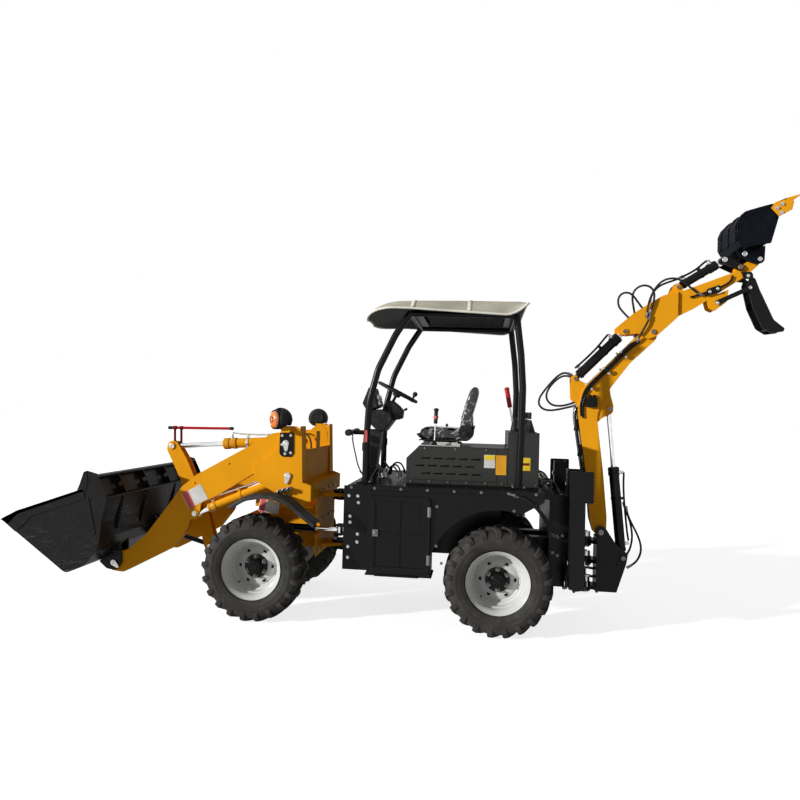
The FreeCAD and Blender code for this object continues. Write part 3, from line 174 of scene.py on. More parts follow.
def paint(name, color, roughness, dust=0.25, wear=0.35, worn=(0.30, 0.28, 0.25), coat=0.25,
        dust_color=(0.30, 0.26, 0.20), peel=0.00012, edge=0.0025, gloss=0.25, scratch=0.0):
    """Sprayed enamel: slow colour drift, orange peel, dust on top faces, rubbed edges."""
    n = Nodes(name)
    drift = n.span(n.noise(2.3, 4.0), 0.3, 0.7)
    base = n.mix(drift, shade(color, 0.92), shade(color, 1.06))
    streak = n.add("ShaderNodeTexNoise", Scale=9.0, Detail=6.0, Roughness=0.6)
    stretch = n.add("ShaderNodeMapping", Vector=n.coords)
    stretch.inputs["Scale"].default_value = (2.0, 2.0, 0.25)
    n.feed(streak.inputs["Vector"], stretch.outputs["Vector"])
    base = n.mix(n.span(streak.outputs["Fac"], 0.55, 0.85, 0.0, 0.30), base, shade(color, 0.74))
    patches = n.span(n.noise(14.0, 8.0, 0.65), 0.48, 0.72)
    settled = n.maths("MULTIPLY", patches, n.facing_up(-0.2, 1.0))
    base = n.mix(n.maths("MULTIPLY", settled, dust), base, dust_color)
    if scratch:
        fine = n.add("ShaderNodeTexNoise", Scale=30.0, Detail=8.0, Roughness=0.7)
        sweep = n.add("ShaderNodeMapping", Vector=n.coords)
        sweep.inputs["Rotation"].default_value = (0.0, 0.35, 0.2)
        sweep.inputs["Scale"].default_value = (0.25, 1.0, 1.5)
        n.feed(fine.inputs["Vector"], sweep.outputs["Vector"])
        marks = n.maths("MULTIPLY", n.span(fine.outputs["Fac"], 0.56, 0.66),
            n.span(n.noise(3.1, 3.0), 0.44, 0.60))
        specks = n.maths("MULTIPLY", n.span(n.noise(85.0, 2.0), 0.66, 0.72),
            n.span(n.noise(4.7, 3.0), 0.46, 0.62))
        marks = n.maths("MAXIMUM", marks, specks)
        base = n.mix(n.maths("MULTIPLY", marks, scratch), base, worn)
    soft = n.soft_edges(edge)
    rubbed = n.maths("MULTIPLY", n.edge_mask(soft), n.span(n.noise(38.0, 5.0), 0.5, 0.66))
    base = n.mix(n.maths("MULTIPLY", rubbed, wear), base, worn)
    rough = n.span(n.noise(26.0, 5.0), 0.3, 0.7, roughness - 0.06, roughness + 0.12)
    rough = n.maths("ADD", rough, n.maths("MULTIPLY", settled, 0.25))
    normal = n.bump(n.noise(420.0, 2.0), peel, soft)
    n.feed(n.shader.inputs["Coat Normal"], normal)
    return n.done(base, rough, normal, Coat_Weight=coat, Coat_Roughness=gloss, Specular_IOR_Level=0.0)


def metal(name, color, roughness, scratch=0.00004, stretch=(1.0, 1.0, 1.0)):
    n = Nodes(name)
    mapping = n.add("ShaderNodeMapping", Vector=n.coords)
    mapping.inputs["Scale"].default_value = stretch
    grain = n.add("ShaderNodeTexNoise", Scale=220.0, Detail=4.0, Roughness=0.6)
    n.feed(grain.inputs["Vector"], mapping.outputs["Vector"])
    tone = n.mix(n.span(n.noise(18.0, 5.0), 0.35, 0.7), shade(color, 0.82), color)
    rough = n.span(grain.outputs["Fac"], 0.3, 0.7, roughness * 0.7, roughness * 1.4)
    normal = n.bump(grain.outputs["Fac"], scratch, n.soft_edges(0.0015))
    return n.done(tone, rough, normal, Metallic=1.0)


def moulded(name, color, roughness, grain=0.0004, scale=260.0, dust=0.2, specular=0.4):
    """Grained plastic or rubber with dust held in the grain."""
    n = Nodes(name)
    cells = n.add("ShaderNodeTexVoronoi", Vector=n.coords, Scale=scale)
    tone = n.mix(n.span(n.noise(5.0, 5.0), 0.3, 0.7), shade(color, 0.8), shade(color, 1.25))
    patches = n.span(n.noise(17.0, 8.0, 0.7), 0.5, 0.75)
    tone = n.mix(n.maths("MULTIPLY", patches, dust), tone, (0.22, 0.20, 0.17))
    rough = n.span(n.noise(30.0, 4.0), 0.3, 0.7, roughness - 0.08, roughness + 0.1)
    normal = n.bump(cells.outputs["Distance"], grain, n.soft_edges(0.002))
    n.feed(n.shader.inputs["Coat Normal"], normal)
    return n.done(tone, rough, normal, Specular_IOR_Level=0.0, Coat_Weight=specular,
        Coat_Roughness=roughness)


YELLOW = paint("yellow_paint", (0.84, 0.355, 0.010), 0.34, dust=0.10, wear=0.25,
    worn=(0.50, 0.30, 0.08), coat=0.06, gloss=0.2)
BLACK = paint("black_paint", (0.0055, 0.0055, 0.0058), 0.36, dust=0.10, wear=0.30,
    worn=(0.075, 0.07, 0.065), dust_color=(0.085, 0.078, 0.068))
SCUFFED = paint("scuffed_black", (0.0095, 0.0095, 0.0090), 0.40, dust=0.25, wear=0.45,
    worn=(0.13, 0.13, 0.12), dust_color=(0.075, 0.07, 0.06), scratch=0.7)
HOE_BLACK = paint("bucket_black", (0.0030, 0.0046, 0.0085), 0.38, dust=0.10, wear=0.25,
    worn=(0.10, 0.10, 0.095), coat=0.12)
HOOD = paint("grey_paint", (0.036, 0.036, 0.034), 0.46, dust=0.22, wear=0.2, worn=(0.12, 0.12, 0.11),
    dust_color=(0.13, 0.12, 0.10))
SILVER = paint("wheel_silver", (0.58, 0.58, 0.56), 0.34, dust=0.22, wear=0.2,
    worn=(0.25, 0.25, 0.25), coat=0.15)
RED = paint("red_paint", (0.50, 0.012, 0.02), 0.35, dust=0.05, wear=0.2)
DARK_RED = paint("dark_red_paint", (0.16, 0.010, 0.012), 0.45, dust=0.05, wear=0.2)
GLAND = paint("yellow_gland", (0.70, 0.32, 0.02), 0.30, dust=0.12, wear=0.4, worn=(0.42, 0.34, 0.16))
CHROME = metal("chrome_rod", (0.86, 0.87, 0.88), 0.10)
STEEL = metal("plated_steel", (0.58, 0.58, 0.56), 0.30)
DARK_STEEL = metal("dark_steel", (0.16, 0.155, 0.15), 0.42)
PIPE_STEEL = metal("drawn_steel", (0.70, 0.70, 0.68), 0.24)
PLASTIC = moulded("black_plastic", (0.012, 0.012, 0.0125), 0.5, specular=0.3)
FENDER = moulded("fender_plastic", (0.013, 0.013, 0.014), 0.42, 0.0003, 300.0, 0.25, 0.5)
# painted shade: this near-black stands in for the shade seen through the hood's louvre slots and the rims' hand
# holes; it also colours the dark panel seams
SHADE_AND_SEAM_BLACK = moulded("shade_and_seam_black", (0.002, 0.002, 0.002), 0.7, dust=0.05, specular=0.1)
RUBBER = moulded("hose_rubber", (0.010, 0.010, 0.010), 0.48, 0.00015, 600.0, 0.10, 0.35)
CANOPY = moulded("canopy_grey", (0.45, 0.43, 0.34), 0.50, 0.00015, 300.0, 0.18)
CANOPY_RIM = moulded("canopy_rim", (0.72, 0.70, 0.62), 0.45, 0.00015, 300.0, 0.10)
CANOPY_DARK = moulded("canopy_lining", (0.030, 0.030, 0.029), 0.65, 0.0004, 200.0, 0.10)
CREAM, PINK, LEMON, AMBER = (moulded(f"label_{name}", color, 0.42, 0.00005, 300.0, dust) for name,
    color, dust in (("white", (0.66, 0.65, 0.60), 0.25), ("red", (0.62, 0.10, 0.10), 0.10),
    ("lemon", (0.86, 0.60, 0.03), 0.10), ("amber", (0.72, 0.33, 0.02), 0.10)))


def lens_material():
    """Ribbed amber lens."""
    n = Nodes("amber_lens")
    cells = n.add("ShaderNodeTexVoronoi", Vector=n.coords, Scale=140.0)
    tone = n.mix(n.span(n.noise(12.0, 3.0), 0.3, 0.7), (0.70, 0.15, 0.008), (0.88, 0.26, 0.02))
    normal = n.bump(cells.outputs["Distance"], 0.0012)
    return n.done(tone, 0.18, normal, Coat_Weight=0.6, Coat_Roughness=0.05, Subsurface_Weight=0.15,
        Subsurface_Scale=0.02)


LENS = lens_material()


def tyre_material():
    n = Nodes("tyre_rubber")
    tone = n.mix(n.span(n.noise(6.0, 6.0), 0.3, 0.7), (0.022, 0.021, 0.020), (0.044, 0.042, 0.039))
    dust = n.span(n.noise(16.0, 9.0, 0.7), 0.48, 0.76)
    tone = n.mix(n.maths("MULTIPLY", dust, 0.30), tone, (0.13, 0.118, 0.10))
    rough = n.span(n.noise(40.0, 4.0), 0.3, 0.7, 0.62, 0.85)
    fine = n.maths("ADD", n.noise(600.0, 2.0), n.noise(90.0, 4.0))
    return n.done(tone, rough, n.bump(fine, 0.0006, n.soft_edges(0.003)), Specular_IOR_Level=0.0,
        Coat_Weight=0.25, Coat_Roughness=0.6)


TYRE = tyre_material()


# -------------------------------------------------------------- mesh building
def new_piece(name, build, material, body=None, smooth=30, bevel=0, segments=2):
    """One mesh piece made by build(bm), riding on a body."""
    bm = bmesh.new()
    build(bm)
    bmesh.ops.remove_doubles(bm, verts=bm.verts, dist=1e-6)
    bmesh.ops.recalc_face_normals(bm, faces=bm.faces)
    mesh = bpy.data.meshes.new(name)
    bm.to_mesh(mesh)
    bm.free()
    piece = bpy.data.objects.new(name, mesh)
    bpy.context.scene.collection.objects.link(piece)
    mesh.materials.append(material)
    for face in mesh.polygons:
        face.use_smooth = True
    mesh.set_sharp_from_angle(angle=math.radians(smooth))
    if bevel:
        modifier = piece.modifiers.new("edges", "BEVEL")
        modifier.width = bevel * MM
        modifier.segments = segments
        modifier.limit_method = "ANGLE"
        modifier.angle_limit = math.radians(35)
        modifier.harden_normals = True
    if body:
        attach(piece, body)
    return piece


def loft(bm, rings, loop=False, tube=False):
    """Skin over rows of vertices; loop joins last to first, tube closes each row."""
    for here, there in zip(rings, rings[1:] + (rings[:1] if loop else [])):
        for k in range(len(here) if tube else len(here) - 1):
            j = (k + 1) % len(here)
            bm.faces.new((here[k], here[j], there[j], there[k]))


def spin(bm, profile, centre, axis, steps=64):
    """Surface of revolution: profile is (along axis, radius) pairs in millimetres."""
    axis = Vector(axis).normalized()
    side = axis.orthogonal().normalized()
    other = axis.cross(side)
    rings = []
    for i in range(steps):
        angle = 2 * math.pi * i / steps
        out = side * math.cos(angle) + other * math.sin(angle)
        rings.append([bm.verts.new(centre + axis * (a * MM) + out * (r * MM)) for a, r in profile])
    loft(bm, rings, loop=True)


def prism(bm, points, low, high, place):
    """Extruded outline; place(u, v, w) gives the 3-D point."""
    bottom = [bm.verts.new(place(u, v, low)) for u, v in points]
    top = [bm.verts.new(place(u, v, high)) for u, v in points]
    bm.faces.new(bottom)
    bm.faces.new(list(reversed(top)))
    loft(bm, [bottom, top], tube=True)


def rounded(points, steps=5):
    """Outline of (u, v) points, with an arc at each corner that gives a radius."""
    out = []
    count = len(points)
    for i, point in enumerate(points):
        here = Vector(point[:2])
        if len(point) < 3:
            out.append(tuple(here))
            continue
        before = Vector(points[i - 1][:2]) - here
        after = Vector(points[(i + 1) % count][:2]) - here
        half = before.angle(after) / 2
        reach = min(point[2] / math.tan(half), 0.48 * min(before.length, after.length))
        radius = reach * math.tan(half)
        middle = (before.normalized() + after.normalized()).normalized()
        centre = here + middle * (radius / math.sin(half))
        start = here + before.normalized() * reach - centre
        end = here + after.normalized() * reach - centre
        first = math.atan2(start.y, start.x)
        turn = (math.atan2(end.y, end.x) - first + math.pi) % (2 * math.pi) - math.pi
        for k in range(steps + 1):
            angle = first + turn * k / steps
            out.append((centre.x + radius * math.cos(angle), centre.y + radius * math.sin(angle)))
    return out


def side_on(datum):
    """Places an outline drawn in the XZ plane of a datum, with w across."""
    return lambda u, v, w: datum(u, w, v)


def plate(name, points, low, high, place, material, body, bevel=1.5, slot=None):
    """Cut plate with rounded edges; several (low, high) pairs make several plates."""
    pairs = list(zip(low, high)) if isinstance(low, (list, tuple)) else [(low, high)]

    def build(bm):
        for bottom, top in pairs:
            prism(bm, rounded(points), bottom, top, place)
    return new_piece(name, build, material, body, bevel=bevel)


def both_sides(low, high):
    """The same span on the left and on the right."""
    return [low, -high], [high, -low]


def box(bm, corners):
    v = [bm.verts.new(c) for c in corners]
    for quad in ((0, 1, 3, 2), (4, 6, 7, 5), (0, 4, 5, 1), (2, 3, 7, 6), (0, 2, 6, 4), (1, 5, 7, 3)):
        bm.faces.new([v[i] for i in quad])


def block(bm, low, high):
    """Box between two opposite corners."""
    box(bm, [(x, y, z) for x in (low[0], high[0]) for y in (low[1], high[1]) for z
        in (low[2], high[2])])


def side_span(flank, near, far):
    """A span across one flank, lowest first; flank is +1 left or -1 right."""
    return sorted((flank * near, flank * far))


def side_block(bm, datum, flank, x, y, z):
    """Box on one flank, from its spans in millimetres."""
    low, high = side_span(flank, *y)
    block(bm, datum(x[0], low, z[0]), datum(x[1], high, z[1]))


def block_at(bm, centre, u, v, size):
    """Box centred on a point, its sides along u, v and their normal."""
    u, v = u.normalized(), v.normalized()
    w = u.cross(v)
    long, wide, deep = (side * MM / 2 for side in size)
    box(bm, [centre + u * (a * long) + w * (b * wide) + v * (c * deep) for a in (-1, 1) for b in (-1, 1)
        for c in (-1, 1)])


def bar(bm, start, end, radius, steps=24, chamfer=1):
    """Closed round bar, its rims chamfered."""
    axis = end - start
    length = axis.length / MM
    spin(bm, [(0, 0.01), (0, radius - chamfer), (chamfer, radius), (length - chamfer, radius),
        (length, radius - chamfer), (length, 0.01)], start, axis, steps)


def bead(bm, points, radius, steps=8, chamfer=0.5):
    """Weld bead or seam through points."""
    for a, b in zip(points, points[1:]):
        bar(bm, a, b, radius, steps, chamfer)


def hexagon(bm, foot, axis, radius, height):
    """Hex bolt head on its washer."""
    axis = Vector(axis).normalized()
    spin(bm, [(0, 0.01), (0, radius * 1.35), (height * 0.2, radius * 1.35),
        (height * 0.2, radius * 1.0)], foot, axis, 18)
    spin(bm, [(height * 0.2, radius * 1.05), (height * 0.85, radius * 1.05), (height, radius * 0.9),
        (height, 0.01)], foot, axis, 6)


def thicken(piece, thickness, offset=0.0):
    """Gives an open sheet its wall."""
    wall = piece.modifiers.new("wall", "SOLIDIFY")
    wall.thickness = thickness * MM
    wall.offset = offset


def stand_for(node, *pieces):
    for piece in pieces:
        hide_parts(node)


def bolts(name, feet, axis, radius, body, material=STEEL):
    def build(bm):
        for foot in feet:
            hexagon(bm, foot, axis, radius, radius * 1.1)
    return new_piece(name, build, material, body)


def keeper(name, pin, tail, datum, y, flank, body, radius, material=STEEL):
    """Teardrop plate over a pin's end, with its bolt; flank is +1 left or -1 right."""
    (px, pz), (tx, tz) = pin, tail
    lean = math.atan2(tz - pz, tx - px)
    small = radius * 0.52

    def arc(cx, cz, r, start):
        return [(cx + r * math.cos(start + math.pi * k / 10),
            cz + r * math.sin(start + math.pi * k / 10)) for k in range(11)]
    outline = arc(px, pz, radius, lean + math.pi / 2) + arc(tx, tz, small, lean - math.pi / 2)

    def build(bm):
        span = sorted((y, y + 5 * flank))
        prism(bm, outline, span[0], span[1], side_on(datum))
        out = Vector((0, flank, 0))
        face = datum(px, y + 5 * flank, pz)
        spin(bm, [(0, radius * 0.62), (4, radius * 0.6), (5, radius * 0.5), (3, radius * 0.22),
            (3, 0.01)], face, out, 24)
        hexagon(bm, datum(tx, y + 5 * flank, tz), out, small * 0.5, small * 0.5)
    return new_piece(name, build, material, body, bevel=0.8)


def pin_faces(name, pins, datum, body, radius, material=STEEL):
    """Machined pin ends with a raised rim and a grease nipple: (x, z, y of the face)."""
    def build(bm):
        for x, z, y in pins:
            out = Vector((0, math.copysign(1, y), 0))
            r = radius
            spin(bm, [(-2, r), (3, r), (4, r * 0.94), (4, r * 0.72), (2.5, r * 0.66), (2.5, r * 0.2),
                (7, r * 0.16), (9.5, r * 0.1), (9.5, 0.01)], datum(x, y, z), out, 28)
    return new_piece(name, build, material, body, smooth=35)


def spline(name, points, radius, material):
    """Smooth NURBS tube through free space; points are its control points."""
    curve = bpy.data.curves.new(name, "CURVE")
    curve.dimensions = "3D"
    line = curve.splines.new("NURBS")
    line.points.add(len(points) - 1)
    for spot, point in zip(line.points, points):
        spot.co = (*point, 1.0)
    line.order_u = 3
    line.use_endpoint_u = True
    curve.resolution_u = 10
    curve.bevel_depth = radius
    curve.bevel_resolution = 4
    curve.use_fill_caps = True
    curve.materials.append(material)
    piece = bpy.data.objects.new(name, curve)
    bpy.context.scene.collection.objects.link(piece)
    return piece


def pipe(name, points, radius, material, body):
    """Fixed steel line or clamped hose along one body."""
    piece = spline(name, points, radius * MM, material)
    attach(piece, body)
    return piece


def route(piece):
    """Points along a curve's own line."""
    depth = piece.data.bevel_depth
    piece.data.bevel_depth = 0.0
    graph = bpy.context.evaluated_depsgraph_get()
    graph.update()
    mesh = bpy.data.meshes.new_from_object(piece.evaluated_get(graph))
    points = [v.co.copy() for v in mesh.vertices]
    bpy.data.meshes.remove(mesh)
    piece.data.bevel_depth = depth
    return points


def sleeve(bm, at, away, radius):
    """Crimped ferrule with its swivel nut, from a port towards the hose."""
    spin(bm, [(-4, radius * 0.7), (0, radius * 1.35), (12, radius * 1.35),
        (13, radius * 0.9)], at, away, 6)
    spin(bm, [(12, radius * 0.9), (15, radius * 1.3), (20, radius * 1.22), (24, radius * 1.3),
        (30, radius * 1.22), (36, radius * 1.3), (38, radius * 1.0)], at, away, 20)


def hose(name, points, radius, body, other=None):
    """Free hydraulic hose between two ports; other is the body its far end rides on."""
    r = radius * MM
    piece = spline(name, points, r, RUBBER)
    line = route(piece)
    if other:
        graph = bpy.context.evaluated_depsgraph_get()
        mesh = bpy.data.meshes.new_from_object(piece.evaluated_get(graph))
        mesh.name = name
        bpy.data.objects.remove(piece)
        piece = bpy.data.objects.new(name, mesh)
        bpy.context.scene.collection.objects.link(piece)
        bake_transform(piece)
    else:
        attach(piece, body)
    near = new_piece(f"{name}_near", lambda bm:
        sleeve(bm, points[0], (line[2] - line[0]).normalized(), radius), DARK_STEEL, body)
    far = new_piece(f"{name}_far", lambda bm:
        sleeve(bm, points[-1], (line[-3] - line[-1]).normalized(), radius), DARK_STEEL, other or body)
    return piece


def label(name, centre, u, v, size, body, colors):
    """Blank plate: a pale field in a thin border, with a plain block where colors has two."""
    u, v = Vector(u).normalized(), Vector(v).normalized()
    out = u.cross(v)
    border, field, patch = colors

    def sheet(grow, lift, low=-0.5, high=0.5):
        def build(bm):
            corners = []
            for a, b in ((low, -0.5), (high, -0.5), (high, 0.5), (low, 0.5)):
                corners.append(centre + u * ((a * size[0] + math.copysign(grow, a - 0.01)) * MM) + v *
                    ((b * size[1] + math.copysign(grow, b)) * MM))
            face = [bm.verts.new(c + out * (lift * MM)) for c in corners]
            back = [bm.verts.new(c) for c in corners]
            bm.faces.new(face)
            bm.faces.new(list(reversed(back)))
            loft(bm, [back, face], tube=True)
        return build
    new_piece(f"{name}_border", sheet(0, 0.8), border, body)
    new_piece(f"{name}_field", sheet(-4, 1.2), field, body)
    if patch:
        new_piece(f"{name}_patch", sheet(-10, 1.5, *patch[1]), patch[0], body)


# ---------------------------------------------------------------------- wheels
def wheel(end, flank):
    hub = PIVOTS[f"wheel_spin_{end}_{flank}"]
    side = 1 if flank == "left" else -1
    out = Vector((0, side, 0))
    body = f"wheel_{end}_{flank}"
    low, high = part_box(f"tyre_{end}_{flank}")
    radius = (high.z - low.z) / 2 / MM
    half = (high.y - low.y) / 2 / MM
    tread = radius - 21
    flange = 222.5

    def carcass(bm):
        wall = [(-half + 34, flange - 12), (-half + 22, flange + 10), (-half + 14, flange + 16),
            (-half + 13, flange + 22), (-half + 7, flange + 32), (-half + 4, flange + 52),
            (-half + 4.5, flange + 56), (-half + 1.5, flange + 62), (-half + 1.5, flange + 82),
            (-half + 4.5, flange + 88), (-half + 6, flange + 105), (-half + 14, flange + 122),
            (-half + 28, tread - 8), (-half + 50, tread), (-half + 85, tread + 2)]
        mirror = [(-a, r) for a, r in reversed(wall)]
        spin(bm, wall + mirror, hub, out, 120)

    tyre = new_piece(f"tyre_body_{end}_{flank}", carcass, TYRE, body, 40)
    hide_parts(f"tyre_{end}_{flank}")

    # across the tyre: y, top and root radius, turn in radians, width, depth below the wall
    stations = [(4, radius - 1, tread - 6, 0.0, 28, 0), (45, radius, tread - 6, 0.035, 30, 0),
        (78, radius - 1, tread - 6, 0.075, 36, 0), (106, radius - 6, tread - 10, 0.092, 42, 4),
        (121.5, radius - 18, tread - 26, 0.098, 44, 10),
        (128.5, radius - 40, tread - 46, 0.100, 44, 12), (129, radius - 66, tread - 60, 0.101, 40, 9)]
    count = 21

    def lugs(bm):
        for face in (-1, 1):
            for i in range(count):
                start = 2 * math.pi * (i + (0.5 if face > 0 else 0)) / count
                rows = []
                for y, top, base, turn, wide, sink in stations:
                    row = []
                    for edge in (-1, 1):
                        for r, inset in ((base, 0), (top, 4)):
                            spread = edge * (wide / 2 - inset) / r
                            angle = start + (turn * 2.2 + spread) * side
                            level = y if r == top else y - sink
                            row.append(bm.verts.new(hub + out * (face * min(level, half - 0.5) * MM) +
                                Vector((math.cos(angle), 0, math.sin(angle))) * (r * MM)))
                    rows.append(row)
                for a, b in zip(rows, rows[1:]):
                    bm.faces.new((a[0], a[1], b[1], b[0]))
                    bm.faces.new((a[1], a[3], b[3], b[1]))
                    bm.faces.new((a[3], a[2], b[2], b[3]))
                bm.faces.new((rows[0][0], rows[0][1], rows[0][3], rows[0][2]))
                last = rows[-1]
                bm.faces.new((last[0], last[2], last[3], last[1]))

    new_piece(f"tyre_lugs_{end}_{flank}", lugs, TYRE, body, 35, 2.5, 1)

    def dish(bm):
        spin(bm, [(half - 34, flange - 20), (half - 29, flange - 8), (half - 21, flange - 1.5),
            (half - 19, flange + 1), (half - 22, flange + 2), (half - 29, flange - 2),
            (half - 33, flange - 10)], hub, out, 96)
        spin(bm, [(half - 34, flange - 20), (half - 46, flange - 26), (half - 52, flange - 30),
            (half - 85, flange - 33), (half - 90, flange - 42), (half - 128, flange - 47),
            (half - 133, flange - 56), (half - 152, flange - 60), (half - 160, 150), (half - 150, 128),
            (half - 146, 110), (half - 146, 66), (half - 150, 60)], hub, out, 96)
        spin(bm, [(-half + 34, flange - 20), (-half + 21, flange - 1.5), (-half + 19, flange + 1),
            (-half + 29, flange - 2)], hub, out, 96)
        spin(bm, [(half - 150, flange - 62), (-half + 60, flange - 40),
            (-half + 34, flange - 20)], hub, out, 96)

    rim = new_piece(f"rim_dish_{end}_{flank}", dish, SILVER, body, 50)
    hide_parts(f"rim_{end}_{flank}")

    def hub_piece(bm):
        face = half - 146
        spin(bm, [(face - 4, 88), (face + 6, 88), (face + 9, 84), (face + 9, 60), (face + 30, 54),
            (face + 34, 49), (face + 52, 47), (face + 56, 42), (face + 56, 26), (face + 62, 24),
            (face + 62, 0.01)], hub, out, 48)
        for i in range(8):
            angle = 2 * math.pi * i / 8
            spot = Vector((math.cos(angle), 0, math.sin(angle))) * 0.036
            hexagon(bm, hub + out * ((face + 54) * MM) + spot, out, 5.5, 8)

    new_piece(f"hub_cap_{end}_{flank}", hub_piece, BLACK, body, 35)
    ring = [hub + out * ((half - 137) * MM) + Vector((math.cos(a), 0, math.sin(a))) * 0.072 for a
        in [math.pi / 6 + math.pi / 3 * i for i in range(6)]]

    def studs(bm):
        for spot in ring:
            bar(bm, spot, spot + out * 0.034, 6.5, 12)
            hexagon(bm, spot, out, 13, 18)

    new_piece(f"wheel_nuts_{end}_{flank}", studs, DARK_STEEL, body)

    # painted shade: black discs on the dish stand in for its hand holes and the shade seen through them
    def hand_hole_shade(bm):
        for i in range(6):
            angle = math.pi / 3 * i
            way = Vector((math.cos(angle), 0, math.sin(angle)))
            spin(bm, [(0, 13), (2.5, 12.5), (1, 10), (1, 0.01)],
                hub + out * ((half - 148.5) * MM) + way * 0.122, out, 20)

    new_piece(f"rim_hole_shade_{end}_{flank}", hand_hole_shade, SHADE_AND_SEAM_BLACK, body)
    valve = hub + out * ((half - 120) * MM) + Vector((0.115, 0, -0.115))
    new_piece(f"valve_{end}_{flank}", lambda bm: bar(bm, valve, valve + out * 0.035, 4, 12), RUBBER,
        body)


for wheel_end in ("front", "rear"):
    for _, wheel_side in SIDES:
        wheel(wheel_end, wheel_side)


# --------------------------------------------------------------- loader bucket
def bucket_trim():
    """Bolted cutter plates, top edge strip, stiffening strips and pin keepers."""
    cutter = [(1858, 703, 6), (1734, 769), (1212, 951, 8), (1200, 876, 8), (1400, 806), (1620, 729, 12),
        (1703, 640, 20), (1738, 612, 8)]
    plate("bucket_cutter_plates", cutter, *both_sides(820, 826), side_on(front), SCUFFED,
        "loader_bucket", 1.8)
    corner = [(1264, 934, 4), (1246, 978, 10), (1216, 1072, 14), (1192, 1080, 6),
        (1180, 1000), (1196, 926)]
    plate("bucket_corner_plates", corner, *both_sides(812, 824), side_on(front), SCUFFED,
        "loader_bucket", 1.5)
    strip = [(1196, 884, 10), (1130, 620, 10), (1106, 622, 10), (1172, 896, 10)]
    plate("bucket_side_strips", strip, *both_sides(820, 825), side_on(front), SCUFFED,
        "loader_bucket", 1.5)

    def welds(bm):
        for y in (-600, -250, 250, 600):
            for flank in (-8, 8):
                bar(bm, front(1066, y + flank, 640), front(1034, y + flank, 880), 4, 8)
        for y in (-ARM_Y, ARM_Y):
            for flank in (-60, 60):
                bar(bm, front(1106, y + flank, 540), front(1094, y + flank, 470), 5, 8)
    new_piece("bucket_welds", welds, SCUFFED, "loader_bucket", smooth=60)

    for flank, side in SIDES:
        for name, way in (("", 1), ("inner_", -1)):
            keeper(f"bucket_pin_keeper_{name}{side}", (1140, 350), (1106, 322), front,
                flank * (ARM_Y + way * BUCKET_PIN_HALF), way * flank, "loader_bucket", 22)
    pin_faces("link_pin_faces", [(1035, 530, 50), (1035, 530, -50)], front, "loader_bucket", 17)


bucket_trim()


# ----------------------------------------------------------------- loader arms
def arm_trim():
    """Edge welds, labels, pin ends and side plugs of the loader arms."""
    outline = [(-95, 1378), (500, 1043), (620, 943), (780, 723), (900, 563), (1036, 446), (1180, 396)]

    def beads(bm):
        for y in (-ARM_Y, ARM_Y):
            for flank in (-36, 36):
                bead(bm, [front(x, y + flank, z) for x, z in outline], 3)
        for flank in (-1, 1):
            ring = [front(565 + 48 * math.cos(t), flank * 409, 765 + 48 * math.sin(t)) for t
                in [2 * math.pi * k / 24 for k in range(25)]]
            bead(bm, ring, 4)
    new_piece("arm_welds", beads, YELLOW, "loader_arms", 60)

    pin_faces("lift_eye_faces", [(510, 750, flank * (ARM_Y + out)) for out in (47.5, -47.5) for flank
        in (1, -1)], front, "loader_arms", 19)
    crank_edge = 66
    pin_faces("crank_pin_faces", [(705, 785, crank_edge), (705, 785, -crank_edge)], front,
        "loader_arms", 20)

    def guard(bm):
        for flank in (-1, 1):
            for x, z in ((610, 900), (520, 985), (250, 1140)):
                hexagon(bm, front(x, flank * 490, z), (0, flank, 0), 7, 6)
    new_piece("arm_side_plugs", guard, YELLOW, "loader_arms")

    slope = (front(0, 0, 1385) - front(470, 0, 1120)).normalized()
    for flank, side in SIDES:
        along = -slope * flank
        up = Vector((-along.z, 0, along.x))
        if up.z < 0:
            up = -up
        if along.cross(up).y * flank < 0:
            along = -along
        field = (0.12, 0.44) if flank < 0 else (-0.44, -0.12)
        label(f"arm_label_{side}", front(512, flank * 490.4, 880), along, up, (165, 120), "loader_arms",
            (PINK, CREAM, (PINK, field)))


arm_trim()


def lift_hydraulics(flank, side):
    """Pipes, gland, ports and clamps on one lift cylinder."""
    y = flank * ARM_Y
    base, eye = Vector((-220, 1060)), Vector((510, 750))
    along = (eye - base).normalized()
    above = Vector((-along.y, along.x))

    def spot(s, lift, sway=0.0):
        point = base + along * s + above * lift
        return front(point.x, y + sway, point.y)
    axis = (spot(1, 0) - spot(0, 0)).normalized()

    def gland(bm):
        spin(bm, [(-60, 32.5), (-58, 36.2), (-30, 36.2), (-28, 35), (-20, 35), (-18, 36.2), (-4, 36.2),
            (0, 34), (2, 30), (2, 21.5)], spot(684, 0), axis, 40)
    new_piece(f"lift_gland_{side}", gland, GLAND, "lift_barrel", smooth=35)

    def bands(bm):
        for s in (170, 400):
            spin(bm, [(0, 32.5), (0, 36), (22, 36), (22, 32.5)], spot(s, 0), axis, 32)
            block_at(bm, spot(s + 11, 42), axis, (spot(0, 1) - spot(0, 0)).normalized(), (22, 34, 16))
    new_piece(f"lift_clamps_{side}", bands, YELLOW, "lift_barrel", bevel=1)

    def ports(bm):
        up = (spot(0, 1) - spot(0, 0)).normalized()
        for s, sway in ((92, 10), (645, -10)):
            spin(bm, [(-6, 13), (12, 13), (14, 11), (15, 7.5)], spot(s, 30, sway * flank), up, 20)
            spin(bm, [(12, 12.5), (19, 12.5), (21, 9)], spot(s, 30, sway * flank), up, 6)
    new_piece(f"lift_ports_{side}", ports, STEEL, "lift_barrel")
    for name, sway, run in (("a", -12, ((655, 62), (655, 70), (640, 74), (560, 66), (300, 50),
            (150, 52), (60, 56), (28, 60))),
            ("b", 12, ((92, 62), (92, 72), (80, 76), (60, 74), (24, 66)))):
        pipe(f"lift_pipe_{name}_{side}", [spot(s, lift, sway * flank) for s, lift in run], 8.5,
            PIPE_STEEL, "lift_barrel")
    pin_faces(f"lift_base_faces_{side}", [(-220, 1060, flank * (ARM_Y + 46 + 12 + 8))], front,
        "front_frame", 17)


for lift_side in SIDES:
    lift_hydraulics(*lift_side)


